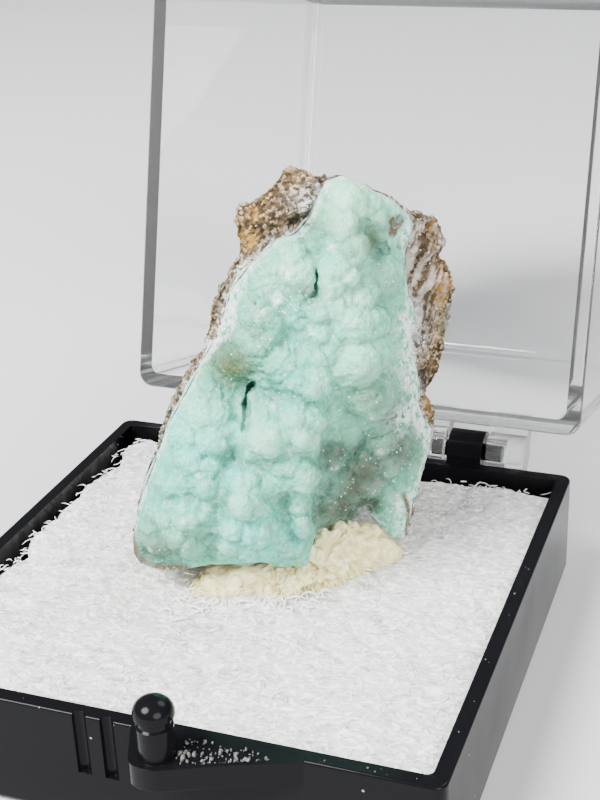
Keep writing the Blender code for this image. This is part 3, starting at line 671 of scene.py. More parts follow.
        (7.7, 2.4, 0.6, 1.2), (7.6, 3.7, 0.6, 1.2), (8.3, 3.6, 0.5, 1.0), (7.5, 1.6, 0.5, 1.0),
        (8.6, 19.5, 0.8, 0.9), (7.9, 9.3, 1.0, 0.75), (8.3, 12.4, 1.1, 0.8),
        (8.0, 14.4, 0.8, 0.5), (0.3, 17.9, 0.5, 0.3), (-0.3, 2.7, 0.5, 0.35),
    ],
    "glitter": [
        (0.5, 17.0, 2.2, 1.0), (4.0, 19.7, 1.2, 0.9), (7.6, 9.4, 1.6, 1.0), (7.0, 7.0, 1.6, 0.8),
        (7.3, 2.8, 1.2, 0.8), (-0.2, 15.2, 1.2, 0.7), (-5.6, 4.4, 2.0, 0.5), (5.2, 5.6, 1.8, 0.6),
        (8.2, 13.0, 1.5, 0.7), (4.6, 16.6, 1.4, 0.5),
    ],
    "brown": [
        (7.8, 20.0, 0.3, 4.0), (7.6, 19.6, 0.22, 4.0), (8.1, 20.15, 0.2, 4.0),
        (-0.45, 16.75, 0.07, 3.0), (-0.2, 16.45, 0.06, 2.5), (-7.3, 2.0, 0.5, 0.25),
    ],
    "whiteLine": [(8.85, 20.2), (8.45, 19.4), (8.0, 18.7)],
    "brownLines": [  # (line, width)
        ([(7.65, 4.25), (7.95, 3.2), (7.85, 2.2), (7.8, 1.3)], 0.15),
        ([(8.35, 3.7), (8.25, 2.9)], 0.1),
        ([(-8.2, 3.6), (-8.05, 2.2), (-7.4, 1.65), (-6.3, 1.5), (-5.2, 1.6)], 0.26),
        ([(7.0, 1.35), (7.75, 1.3)], 0.1),
    ],
    "base": ((0.07, 0.42, 0.28), (0.13, 0.54, 0.36)),
    # Tints: blue and pale are the stone's own colours; peak and ridge are painted highlight on the
    # lobes' tops; wide, hollow and crease are painted shade in the dips and creases.
    "tints": [  # (field, strength, colour), laid over the base in turn
        ("blue", 1.0, (0.03, 0.54, 0.46)), ("pale", 0.85, (0.42, 0.88, 0.57)),
        ("peak", 0.3, (0.28, 0.62, 0.46)), ("wide", 0.4, (0.06, 0.22, 0.175)),
        ("hollow", 0.42, (0.07, 0.19, 0.155)), ("crease", 0.3, (0.08, 0.21, 0.175)),
        ("ridge", 0.4, (0.36, 0.74, 0.56)),
    ],
    "surface": {
        "IOR": 1.61, "Specular IOR Level": 0.2, "Subsurface Weight": 0.65,
        "Subsurface Radius": (0.5, 1.0, 0.85), "Subsurface Scale": 0.18 * mm,
    },
}


def shaken(across, up, amount, size, salt):
    # Shifts both coordinates by soft noise.
    place = flatPoints(across, up)
    return [v + amount * softNoise(place, size, salt + k) for k, v in enumerate((across, up))]


def crustHeight(across, up):
    # How far forward the crust reaches: the soft maximum of rounded caps, each its summit less the
    # squared distance over twice its radius, less a rounded trench along each crack.
    k = crust["sharpness"]
    face = np.full_like(across, crust["floor"] * k)
    for x, z, summit, radius in crust["lobes"]:
        cap = summit - ((across - x) ** 2 + (up - z) ** 2) / (2 * radius)
        face = np.logaddexp(face, cap * k)
    face = face / k
    across, up = shaken(across, up, 0.08, 0.35, 63)
    for line, width, depth in crust["cracks"]:
        face = face - depth * np.exp(-(alongLine(across, up, line) / width) ** 2)
    return face


def knobShape(across, up):
    # The soft maximum of nothing and of each knob's cap, its height less a square law to its
    # radius. A crease is where the two highest are level.
    k = crust["knobSharpness"]
    across, up = shaken(across, up, *crust["knobWarp"], 61)
    total, first = np.zeros_like(across), np.zeros_like(across)
    second = np.full_like(across, -9.0)
    for x, z, radius in crust["knobs"]:
        radius = crust["knobReach"] * radius
        share = ((across - x) ** 2 + (up - z) ** 2) / radius ** 2
        cap = radius * crust["knobHeight"] * (1 - share)
        total = np.logaddexp(total, cap * k)
        second = np.maximum(second, np.minimum(first, cap))
        first = np.maximum(first, cap)
    return total / k, np.exp(-((first - second) / crust["creaseWidth"]) ** 2)


def blurred(values, reach):
    # The mean over a square window of a grid, one direction at a time.
    for axis in (0, 1):
        total = np.zeros_like(values)
        for step in range(-reach, reach + 1):
            index = np.clip(np.arange(values.shape[axis]) + step, 0, values.shape[axis] - 1)
            total += np.take(values, index, axis=axis)
        values = total / (2 * reach + 1)
    return values


def makeCrust():
    n = crust["cells"]
    centre, outline = stone["centre"], stone["crustEdge"]
    _, _, share, bearing = squareGrid(n)
    s = ease(share)
    _, edgeForward = outlineAt(outline, bearing)
    radius = gentleReach(outline, bearing, s)
    across, up = fromCentre(centre, radius * s, bearing)
    flatPlace = flatPoints(across, up)
    amount, size = crust["drift"]
    across = across + amount * layeredNoise(flatPlace, size, 2, 5) * (1 - s ** 8)
    up = up + amount * layeredNoise(flatPlace, size, 2, 6) * (1 - s ** 8)
    inward = np.minimum(outlineDistance(across, up, outline), (1 - s) * radius)
    forward = edgeForward + (crustHeight(across, up) - edgeForward) * rounding(inward)

    # The knobs, then smaller and smaller caps, grow out along the surface's normals
    flat = stacked(across, up, forward).reshape(-1, 3)
    hold = smoothStep(0, crust["hold"], inward).ravel()
    faces = gridFaces(n)
    swell, crease = knobShape(flat[:, 0], flat[:, 1])
    flat = pushed(flat, faces, (swell - crust["creaseDepth"] * crease) * hold)
    for k, (size, height) in enumerate(crust["bumps"]):
        flat = pushed(flat, faces, softCaps(flat, size, 40 + 7 * k, 9.0) * height * 2 * hold)
    top = flat.reshape(n, n, 3)

    # Fields for the colours: how far a place lies below or above the mean around it, for painted
    # shade in the hollows and painted highlight on the tops, the white growth along the edge, and
    # the spots and lines of the lists above
    a, b, reach = np.moveaxis(top, -1, 0)
    hollow = (blurred(reach, 6) - reach) / 0.22
    wide = (blurred(reach, 16) - reach) / 0.7
    fields = {"hollow": hollow, "ridge": -hollow, "wide": wide, "peak": -wide}
    fields["crease"] = (crease * hold).reshape(n, n)
    for label in ("frost", "white", "blue", "glitter", "olive", "grey", "pale", "shade", "brown"):
        fields[label] = blobs(a, b, crust[label])
    width = byBearing(bearing, crust["whiteWidth"]) * (1 + 0.5 * softNoise(flatPlace, 0.8, 9))
    edge = byBearing(bearing, crust["whiteEdge"]) * (1 - smoothStep(0.35, 1.0, inward / width))
    streak = 1.7 - alongLine(a, b, crust["whiteLine"]) / 0.26
    fields["white"] = np.max([fields["white"], edge, streak], axis=0)
    lines = [1.5 - alongLine(a, b, line) / width for line, width in crust["brownLines"]]
    fields["brown"] = np.max([fields["brown"], *lines], axis=0)

    # The side goes down and in under the rim, in the rim's own colours, and closes at one point
    around = gridRim(n)
    rim = flat[around]
    middle = np.array([*centre, -3.0])
    rings = [rim + (middle - rim) * 0.03 * np.array([1, 1, 0]) + (0, 0, -0.7)]
    rings.append(rim + (middle - rim) * np.array([0.35, 0.35, 1]))
    points, quads, triangles = closeBelow(top, rings, middle)
    fields = {k: np.clip(v, 0, 1).ravel() for k, v in fields.items()}
    fields = {k: np.concatenate([v, v[around], v[around], [0]]) for k, v in fields.items()}
    return newPiece("hemimorphite_crust", stonePlace(*points.T), quads, triangles, fields)


def crustMaterial():
    material, tree, shader = newMaterial("aquaCrust", crust["surface"])
    place = objectPlace(tree)
    clouds, small = cloudy(tree, place, 420.0, 3.0, 2.2), cloudy(tree, place, 2600.0, 3.0, 2.6)
    grains = useGroup(tree, grain, Place=place, Scale=4600.0, Fine=0.6)
    tone = grains["Tone"]
    # Painted highlight on the lobes' tops and painted shade in their hollows and creases, over the
    # stone's own blues and pales
    base = tinted(tree, mixColour(tree, clouds, *crust["base"]), crust["tints"])
    sugar = times(tree, times(tree, tone, small), 0.55)
    base = mixColour(tree, sugar, base, (0.42, 0.76, 0.62))
    # Painted shade with a grey-green tint over the recessed lower right
    base = mixColour(tree, field(tree, "grey"), base, (0.50, 0.205, 0.20), "MULTIPLY")
    # Painted shade in the undercut above the notch and in dark recesses and gaps
    base = tinted(tree, base, [("shade", 0.85, (0.035, 0.06, 0.045))])
    base = mixColour(tree, field(tree, "olive"), base, (0.48, 0.19, 0.10), "MULTIPLY")
    rime = plus(tree, times(tree, tone, 0.7), times(tree, small, 0.6))
    fluff = ramp(tree, rime, [(0.35, 0.0), (0.75, 1.0)])
    base = mixColour(tree, times(tree, field(tree, "white"), fluff), base, (0.80, 0.84, 0.82))
    brown = times(tree, field(tree, "brown"), plus(tree, tone, 0.6, clamp=True))
    base = mixColour(tree, brown, base, (0.12, 0.085, 0.055))

    # Painted highlights where crystal faces catch the light: near-white dots, sparse everywhere and
    # dense where the stone glitters, and whole glassy spots, which are glossier as well
    glint = dotted(tree, sparkle, place, 7500.0, 0.024)
    more = times(tree, dotted(tree, sparkle, place, 6500.0, 0.10), field(tree, "glitter"))
    glint = times(tree, maths(tree, "MAXIMUM", glint, more), 0.8)
    spotHighlight = times(tree, field(tree, "frost"), plus(tree, tone, 0.2, clamp=True))
    glint = maths(tree, "MAXIMUM", glint, spotHighlight)
    base = mixColour(tree, glint, base, (0.92, 1.0, 0.96))
    tree.links.new(base, shader.inputs["Base Color"])
    rough = ramp(tree, small, [(0.2, 0.28), (0.8, 0.5)])
    rough = mixColour(tree, field(tree, "white"), rough, (0.75,) * 3)
    rough = mixColour(tree, glint, rough, (0.12,) * 3)
    tree.links.new(rough, shader.inputs["Roughness"])
    bump(tree, shader, grains["Height"], 0.9, 0.08 * mm)
    return material


crustPiece = makeCrust()
crustPiece.data.materials.append(crustMaterial())
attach(crustPiece, "base")
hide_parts("specimen")
print("crust made")


# ---- the rock that the crust grew on

rock = {
    "cells": 215,
    "below": 0.15,  # how far the rock lies under the crust's edge
    "thickness": 1.5,  # of the crust over the rock
    "notch": (262, 270, 300, 308),  # bearings where the rock draws back, and how far under the
    "notchDepth": (0.8, 0.5),  # crust and outside it
    "ochre": [  # stains, as (across, up, radius, strength)
        (-0.3, 19.6, 0.5, 0.9), (10.9, 16.1, 0.8, 1.0), (10.6, 15.2, 0.6, 0.7),
        (9.7, 9.3, 0.6, 0.9), (0.0, 20.9, 0.4, 0.6), (10.4, 13.2, 0.8, 0.35),
        (10.5, 19.4, 0.5, 0.5), (0.6, 22.3, 0.5, 0.5),
    ],
    "white": [
        (8.9, 13.0, 1.1, 0.9), (8.7, 19.4, 0.5, 0.8), (8.9, 9.8, 0.7, 0.6),
        (2.9, 21.5, 0.75, 1.0), (3.5, 22.0, 0.5, 0.9), (10.9, 18.4, 0.4, 0.6),
        (9.7, 6.7, 0.8, 0.5), (8.9, 15.0, 0.6, 0.8), (8.7, 3.6, 0.8, 1.0), (8.3, 2.2, 0.8, 1.0),
    ],
    # Dark patches of the rock, and painted shade in the crevice and the gap by the crust at the
    # upper left
    "dark": [
        (2.0, 21.3, 0.5, 0.7), (1.2, 20.2, 0.6, 0.8), (0.6, 19.5, 0.5, 0.5),
        (9.9, 17.2, 0.9, 0.5), (2.5, 20.45, 0.32, 1.4), (2.1, 20.3, 0.3, 1.2),
        (2.95, 20.95, 0.2, 1.0), (9.9, 15.4, 0.6, 0.6), (9.4, 10.6, 0.8, 1.0),
        (-1.3, 17.0, 0.7, 0.4), (9.0, 18.2, 0.6, 0.6), (9.9, 14.0, 0.5, 0.5),
    ],
    "striped": [
        (9.1, 18.4, 1.5, 1.0), (9.8, 16.6, 1.2, 0.8), (8.6, 20.4, 1.0, 0.7), (9.4, 14.4, 1.0, 0.5),
    ],
    "stripe": (0.506, 0.863),  # which way the fibres run
    "humps": [
        (2.7, 21.0, 0.9, 0.9), (2.4, 20.4, 0.38, -0.7), (10.7, 16.3, 0.9, 0.4),
        (9.3, 9.4, 0.7, 0.4),
    ],
    "smooth": [(8.3, 2.4, 1.6, 1.0)],
    "fibre": (0.2, 2.0, 1.2, 0.13),  # width, length, depth and height
    "grains": [(0.48, 0.14, 151), (0.22, 0.11, 171)],  # (size, height, seed)
    "dull": [(0.0, (0.016, 0.010, 0.006)), (0.35, (0.06, 0.036, 0.018)),
             (0.65, (0.14, 0.085, 0.04)), (1.0, (0.26, 0.17, 0.08))],
    "mixed": [(0.0, (0.008, 0.005, 0.003)), (0.35, (0.06, 0.036, 0.018)),
              (0.65, (0.2, 0.13, 0.06)), (0.88, (0.78, 0.62, 0.38))],
    "bands": [(0.3, (0.03, 0.02, 0.014)), (0.45, (0.16, 0.11, 0.075)),
              (0.57, (0.44, 0.38, 0.32)), (0.7, (0.84, 0.82, 0.79))],
}


def makeRock():
    n = rock["cells"]
    centre = stone["centre"]
    _, _, share, bearing = squareGrid(n)
    stoneRadius, stoneForward = outlineAt(stone["edge"], bearing)
    crustRadius, crustForward = outlineAt(stone["crustEdge"], bearing)

    # Front: a quarter of the rings lie under the crust, and the rest run out to the stone's edge.
    # From the crust's edge the surface runs straight to the stone's own edge.
    inner = np.minimum(crustRadius, stoneRadius) * 0.92
    outer = inner + (stoneRadius - inner) * ease((share - 0.25) / 0.75)
    distance = np.where(share < 0.25, inner * share * 4, outer)
    past = distance - crustRadius
    across, up = fromCentre(centre, distance, bearing)
    low = crustForward - rock["below"]
    inward = np.minimum(outlineDistance(across, up, stone["crustEdge"]), np.maximum(-past, 0))
    deep = np.maximum(crustHeight(across, up) - rock["thickness"], low - 0.4)
    degrees = np.degrees(bearing)
    first, full, last, end = rock["notch"]
    notch = smoothStep(first, full, degrees) * (1 - smoothStep(last, end, degrees))
    notch = notch * (1 - share ** 10)
    under = low + (deep - low) * rounding(inward) - rock["notchDepth"][0] * notch
    t = np.clip(past / np.maximum(stoneRadius - crustRadius, 0.05), 0, 1)
    open = low + (stoneForward - low) * t - rock["notchDepth"][1] * notch
    bare = smoothStep(0.0, 0.3, past)
    humps = sum(bell(across, up, *hump) for hump in rock["humps"])
    front = np.where(past < 0, under, open) + humps * bare

    # Back: the foremost of a few slanting planes, rounded into the edge
    s = ease(share)
    backAcross, backUp = fromCentre(centre, stoneRadius * s, bearing)
    x, z = backAcross - centre[0], backUp - centre[1]
    planes = np.max([a * x + b * z + c for a, b, c in stone["backPlanes"]], axis=0)
    back = stoneForward + (planes - stoneForward) * np.sqrt(1 - s ** 5)
    back = stacked(backAcross, backUp, back)[1:-1, 1:-1].reshape(-1, 3)
    points = np.concatenate([stacked(across, up, front).reshape(-1, 3), back])
    quads = weldedGrids(n)
    bare[[0, -1], :] = bare[:, [0, -1]] = 0.6
    free = np.concatenate([bare.ravel(), np.ones(len(back))])

    # Broken lumps, fibres where the rock is striped, then grains, all pushed out along the normals
    a, b, forward = points.T
    runs, turns = rock["stripe"]
    drift = layeredNoise(points, 1.5, 2, 141) * 0.25
    width, length, depth, height = rock["fibre"]
    crossways, lengthways = a * turns - b * runs + drift, a * runs + b * turns
    fibres = stacked(crossways / width, lengthways / length, forward / depth)
    stripes = layeredNoise(fibres, 1.0, 2, 131)
    striped = blobs(a, b, rock["striped"])
    free = free * (1 - 0.8 * blobs(a, b, rock["smooth"]))
    lumps = layeredNoise(points, 2.4, 3, 101) * 0.3 - 0.1
    points = pushed(points, quads, (lumps + stripes * height * striped) * free)
    for size, height, salt in rock["grains"]:
        nearest, _, tag, _ = cellNoise(points, size, salt)
        points = pushed(points, quads, (0.5 - nearest) * height * 2 * free * (0.5 + tag))

    a, b, _ = points.T
    behind = np.concatenate([np.zeros(n * n), np.ones(len(back))])
    rimWhite = byBearing(bearing, crust["whiteEdge"]) * (1 - smoothStep(0.1, 0.6, past))
    rimWhite = np.concatenate([rimWhite.ravel(), np.zeros(len(back))])
    fields = {
        "ochre": blobs(a, b, rock["ochre"]) * (1 - 0.7 * behind),
        "white": np.maximum(rimWhite, blobs(a, b, rock["white"]) * (1 - behind)),
        "dark": blobs(a, b, rock["dark"]) * (1 - 0.6 * behind),
        "behind": behind,
        "striped": striped * (1 - behind),
        "stripes": stripes * 0.7 + 0.5,
    }
    return newPiece("rock_matrix", stonePlace(*points.T), quads, None, fields)


def rockMaterial():
    material, tree, shader = newMaterial("brownRock", {"Specular IOR Level": 0.25})
    place = objectPlace(tree)
    patches, fine = cloudy(tree, place, 520.0, 5.0, 3.0), cloudy(tree, place, 2600.0, 4.0, 3.4)
    grains = useGroup(tree, grain, Place=place, Scale=5600.0, Fine=0.6)
    mixed = ramp(tree, grains["Tone"], rock["mixed"])
    base = mixColour(tree, 0.55, ramp(tree, patches, rock["dull"]), mixed)
    ochre = times(tree, field(tree, "ochre"), plus(tree, fine, 0.2, clamp=True))
    base = mixColour(tree, ochre, base, (0.50, 0.27, 0.05))
    bands = ramp(tree, field(tree, "stripes"), rock["bands"])
    base = mixColour(tree, times(tree, field(tree, "striped"), 0.85), base, bands)
    tufts = plus(tree, grains["Tone"], 0.25, clamp=True)
    fluff = times(tree, ramp(tree, fine, [(0.35, 0.1), (0.6, 1.0)]), tufts)
    base = mixColour(tree, times(tree, field(tree, "white"), fluff), base, (0.72, 0.75, 0.74))
    # Dark rock patches, and painted shade in the upper-left crevice and gap
    dark = times(tree, field(tree, "dark"), plus(tree, fine, 0.3, clamp=True))
    base = mixColour(tree, dark, base, (0.022, 0.016, 0.012))
    veil = minus(tree, cloudy(tree, place, 420.0, 6.0, 5.0), 0.64, clamp=True)
    veil = times(tree, times(tree, field(tree, "behind"), veil), 1.4, clamp=True)
    base = mixColour(tree, veil, base, (0.38, 0.44, 0.37))
    glint = times(tree, dotted(tree, sparkle, place, 5200.0, 0.04), 0.8)
    base = mixColour(tree, glint, base, (0.80, 0.74, 0.58))
    tree.links.new(base, shader.inputs["Base Color"])
    tree.links.new(ramp(tree, fine, [(0.0, 0.55), (1.0, 0.9)]), shader.inputs["Roughness"])
    bump(tree, shader, grains["Height"], 0.8, 0.12 * mm)
    return material


rockPiece = makeRock()
rockPiece.data.materials.append(rockMaterial())
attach(rockPiece, "base")
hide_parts("specimen")
print("rock made")


# ---- the putty that the stone is pressed into

putty = {
    "cells": 170,
    "centre": (2.6, 0.9),
    "outline": [
        (-2.9, -1.9), (-2.3, -2.9), (-1.1, -3.3), (0.2, -2.6), (1.1, -2.0), (3.0, -1.9),
        (3.8, -1.1), (4.8, -0.4), (5.7, 1.0), (6.7, 2.3), (7.8, 3.6), (7.6, 5.0), (6.4, 5.7),
        (4.4, 5.4), (1.6, 3.6), (-1.6, 1.4),
    ],
    "bottom": 5.85,
    "granules": [(0.6, 0.2, 261), (0.33, 0.12, 271)],  # (size, depth, seed)
    "shade": [(-1.0, -1.2, 2.2, 1.0)],
    "strings": 90,
    "stringLength": (0.4, 1.3),
    "stringWidth": (0.06, 0.16),
    "base": ((1.0, 0.94, 0.46), (1.0, 1.0, 0.64)),
    # Tints: painted shade in the creases and over the left pad, and darker and yellower towards the
    # foam
    "tints": [  # (field, strength, colour)
        ("low", 0.45, (0.88, 0.76, 0.34)), ("shade", 0.5, (0.46, 0.38, 0.24)),
        ("crease", 0.5, (0.50, 0.38, 0.17)),
    ],
    "surface": {
        "Subsurface Weight": 0.15, "Subsurface Radius": (1.0, 0.8, 0.5),
        "Subsurface Scale": 0.3 * mm,
    },
    "lumps": [  # (x, y, top above the foam, radius)
        (4.3, 1.2, 2.75, 0.8), (5.3, 2.1, 2.95, 0.75), (6.3, 3.2, 2.55, 0.75),
        (3.6, 0.5, 2.0, 0.8), (5.5, 1.2, 2.1, 0.7), (4.5, 0.4, 1.6, 0.6), (6.6, 2.4, 1.7, 0.6),
        (2.2, -0.6, 1.5, 1.6), (0.2, -1.5, 1.4, 1.8), (-1.6, -2.0, 1.2, 1.2),
        (1.5, 1.5, 1.3, 3.0), (4.0, 3.6, 1.6, 2.2),
    ],
}


def makePutty():
    n = putty["cells"]
    bottom = putty["bottom"]
    _, _, share, bearing = squareGrid(n)
    s = ease(share)
    [radius] = byOutline(putty["outline"], putty["centre"], bearing)
    ragged = layeredNoise(flatPoints(*fromCentre((0, 0), 3, bearing)), 0.35, 3, 211)
    radius = radius * (1 + 0.035 * ragged * smoothStep(0.6, 1.0, s))
    x, y = fromCentre(putty["centre"], radius * s, bearing)

    # The top is the soft maximum of flattened lumps, and rounds down to the foam at its edge
    k = 5
    height = np.full_like(x, 0.7 * k)
    for px, py, top, size in putty["lumps"]:
        lump = top - ((x - px) ** 2 + (y - py) ** 2) / (2.2 * size)
        height = np.logaddexp(height, lump * k)
    z = 6.0 + height / k * (1 - s ** 7) ** 0.5
    rim = stacked(x, y, 0 * x + bottom).reshape(-1, 3)[gridRim(n)]
    last = (*putty["centre"], bottom)
    points, quads, triangles = closeBelow(stacked(x, y, z), [rim], last)

    # Warped folds, small plates and then granules are pressed in along the normals
    free = smoothStep(bottom, 6.15, points[:, 2])
    crumpled = 0.35 + 0.65 * smoothStep(0.5, 3.0, points[:, 0])
    warp = stacked(*[softNoise(points, 1.6, 221 + k) for k in range(3)]) * 0.9
    folds = 1 - abs(layeredNoise(points + warp, 1.15, 3, 231)) * 1.6
    crease = np.clip(folds, 0, 1) ** 3
    push = (0.14 - crease * 0.34) * crumpled + layeredNoise(points, 0.7, 2, 241) * 0.1
    points = pushed(points, quads, push * free)
    nearest, second, _, _ = cellNoise(points + warp * 0.5, 0.9, 251)
    plates = np.minimum(second - nearest, 0.3) - 0.15
    points = pushed(points, quads, plates * 0.5 * crumpled * free)
    for size, depth, salt in putty["granules"]:
        nearest, _, _, _ = cellNoise(points + warp * 0.3, size, salt)
        points = pushed(points, quads, (0.45 - nearest) * depth * crumpled * free)
        crease = np.maximum(crease, np.clip((nearest - 0.42) * 3, 0, 1) * crumpled)
    x, y, z = points.T
    low = 1 - smoothStep(6.1, 7.0, z)
    # crease carries painted shade into the folds and the gaps between granules
    fields = {"crease": crease, "low": low, "shade": blobs(x, y, putty["shade"])}
    return newPiece("putty", points * mm, quads, triangles, fields)


def puttyMaterial():
    material, tree, shader = newMaterial("creamPutty", putty["surface"])
    place = objectPlace(tree)
    clouds, fine = cloudy(tree, place, 700.0, 4.0, 2.0), cloudy(tree, place, 4500.0, 3.0, 2.0)
    base = tinted(tree, mixColour(tree, clouds, *putty["base"]), putty["tints"])
    tree.links.new(base, shader.inputs["Base Color"])
    tree.links.new(ramp(tree, fine, [(0.0, 0.5), (1.0, 0.75)]), shader.inputs["Roughness"])
    bump(tree, shader, fine, 0.35, 0.05 * mm)
    return material


def spindles(rng, centres, along, lengths, widths, bends):
    # Each is a six-cornered spindle: two tips on its length, and four corners round its middle,
    # which is pushed sideways by its bend.
    count = len(centres)
    along = along / np.linalg.norm(along, axis=1, keepdims=True)
    side = np.cross(along, (0.0, 0.0, 1.0)) + (1e-6, 0, 0)
    side = side / np.linalg.norm(side, axis=1, keepdims=True)
    over = np.cross(side, along)
    roll = rng.uniform(-0.6, 0.6, (count, 1))
    middle = side * bends[:, None]
    tip = along * lengths[:, None] / 2
    wide = (side * np.cos(roll) + over * np.sin(roll)) * widths[:, None] / 2
    thin = (over * np.cos(roll) - side * np.sin(roll)) * (widths * 0.6)[:, None] / 2
    parts = [tip, middle + wide, middle + thin, middle - wide, middle - thin, -tip]
    points = (centres[:, None, :] + np.stack(parts, axis=1)).reshape(-1, 3)
    faces = [(0, k, k % 4 + 1) for k in (1, 2, 3, 4)] + [(5, k % 4 + 1, k) for k in (1, 2, 3, 4)]
    return points, (np.arange(count)[:, None, None] * 6 + np.array(faces)).reshape(-1, 3)


def makeStrings():
    # Threads that the putty drew out as it was pressed down: they leave its front edge outwards.
    rng = np.random.default_rng(23)
    count = putty["strings"]
    edge = np.array(putty["outline"][:12])
    t = rng.uniform(0, len(edge) - 1.001, count)
    k = t.astype(int)
    spot = edge[k] + (edge[k + 1] - edge[k]) * (t - k)[:, None]
    out = spot - np.array(putty["centre"]) - (0, 1.5)
    out = out / np.linalg.norm(out, axis=1, keepdims=True)
    along = np.column_stack([out, rng.uniform(-0.5, 0.3, count)])
    along[:, :2] += rng.uniform(-0.5, 0.5, (count, 2))
    lengths = rng.uniform(*putty["stringLength"], count)
    centres = np.column_stack([spot, rng.uniform(6.25, 6.75, count)])
    centres = centres + along * (lengths[:, None] * 0.3)
    widths = rng.uniform(*putty["stringWidth"], count)
    bends = lengths * rng.uniform(-0.2, 0.2, count)
    points, faces = spindles(rng, centres, along, lengths, widths, bends)
    return newPiece("putty_strings", points * mm, noQuads, faces, {"low": 0.3 + 0 * points[:, 0]})


puttyPiece, stringsPiece = makePutty(), makeStrings()
creamPutty = puttyMaterial()
for piece in (puttyPiece, stringsPiece):
    piece.data.materials.append(creamPutty)
    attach(piece, "base")
    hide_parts("mineral_tack")
print("putty made")


# ---- the foam pad

foam = {
    "cells": 290,
    "half": 14.97,  # of the pad's width
    "top": 6.04,
    "bottom": 1.0,
    "torn": (  # left and back edge: gap, raggedness, size of the tears, seed
        (0.75, 0.45, 1.9, 361), (0.6, 0.4, 1.7, 371),
    ),
    "flecks": 1500,
    "wisps": 130,
    "threads": 60,
    "fleckLength": (0.3, 0.9),
    "threadLength": (0.5, 1.7),
    "surface": {
        "Subsurface Weight": 0.3, "Subsurface Radius": (1.0, 1.0, 1.0),
        "Subsurface Scale": 0.15 * mm,
    },
}


def foamHeight(x, y):
    # Soft felt: layered noise at two sizes, with small plates that lean at random.
    place = flatPoints(x, y)
    height = 0.1 * layeredNoise(place, 2.4, 2, 303) + 0.055 * layeredNoise(place, 0.55, 2, 351)
    _, _, tag, away = cellNoise(place, 0.8, 311, flat=True)
    lean = np.sin(tag * 97.0) * away[..., 0] + np.cos(tag * 97.0) * away[..., 1]
    return height + (tag - 0.5) * 0.03 + lean * 0.05


def tornEdge(a, b, gap, ragged, size, salt):
    # How far an edge stands back from the wall: its gap and layered noise along it, at least 0.1.
    return np.maximum(gap + ragged * layeredNoise(flatPoints(a, b), size, 4, salt), 0.1)


def makeFoam():
    # The left and back edges are torn back from the wall, and the front and right ones are cut
    # straight.
    n = foam["cells"]
    a, b, _, _ = squareGrid(n)
    x, y = a * foam["half"], b * foam["half"]
    left, back = foam["torn"]
    tornX = tornEdge(0 * y, y, *left) * smoothStep(0.86, 1.0, -a)
    tornY = tornEdge(x, 0 * x + 5, *back) * smoothStep(0.86, 1.0, b)
    x, y = x + tornX, y - tornY
    crisp = 1 - smoothStep(0.965, 1.0, np.maximum(a, -b))
    z = foam["top"] + foamHeight(x, y) * (0.25 + 0.75 * crisp)
    z = z - 0.3 * smoothStep(0.975, 1.0, np.maximum(-a, b))
    top = stacked(x, y, z)
    rim = top.reshape(-1, 3)[gridRim(n)]
    inset = 1 - 0.006 * (1 + layeredNoise(rim, 0.7, 2, 381))
    rings = []
    for level, narrowed in ((4.6, inset), (3.0, inset), (foam["bottom"], 1 + 0 * inset)):
        ring = rim * narrowed[:, None]
        ring[:, 2] = level
        rings.append(ring)
    points, quads, triangles = closeBelow(top, rings, (0, 0, foam["bottom"]))
    return newPiece("foam_pad", points * mm, quads, triangles)


def curls(starts, heading, lengths, bend, rise, widths, steps):
    # Each is a thin three-sided thread on an arc: its heading turns evenly by its bend, and its
    # height and its thickness follow half a sine.
    t = np.linspace(0, 1, steps)
    angle = heading[:, None] + bend[:, None] * (t - 0.5)
    ways = flatPoints(np.cos(angle), np.sin(angle))
    path = np.cumsum(ways, axis=1) * (lengths / steps)[:, None, None]
    path = path - path.mean(axis=1, keepdims=True) + starts[:, None, :]
    path[..., 2] += rise[:, None] * np.sin(math.pi * t)
    side = flatPoints(-ways[..., 1], ways[..., 0])
    thick = (widths[:, None] * np.sin(math.pi * (0.12 + 0.76 * t)))[..., None] / 2
    corners = []
    for turn in fullTurn * np.arange(3) / 3 + math.pi / 2:
        reach = side * math.cos(turn) + np.array([0, 0, math.sin(turn)])
        corners.append(path + reach * thick)
    points = np.stack(corners, axis=2).reshape(-1, 3)
    ring, k = np.arange(steps - 1)[:, None] * 3, np.arange(3)[None]
    after = (k + 1) % 3
    first = stacked(ring + k, ring + 3 + k, ring + 3 + after).reshape(-1, 3)
    second = stacked(ring + k, ring + 3 + after, ring + after).reshape(-1, 3)
    last = steps * 3 - 3
    pattern = np.concatenate([first, second, [(0, 1, 2), (last + 2, last + 1, last)]])
    return points, (np.arange(len(starts))[:, None, None] * steps * 3 + pattern).reshape(-1, 3)


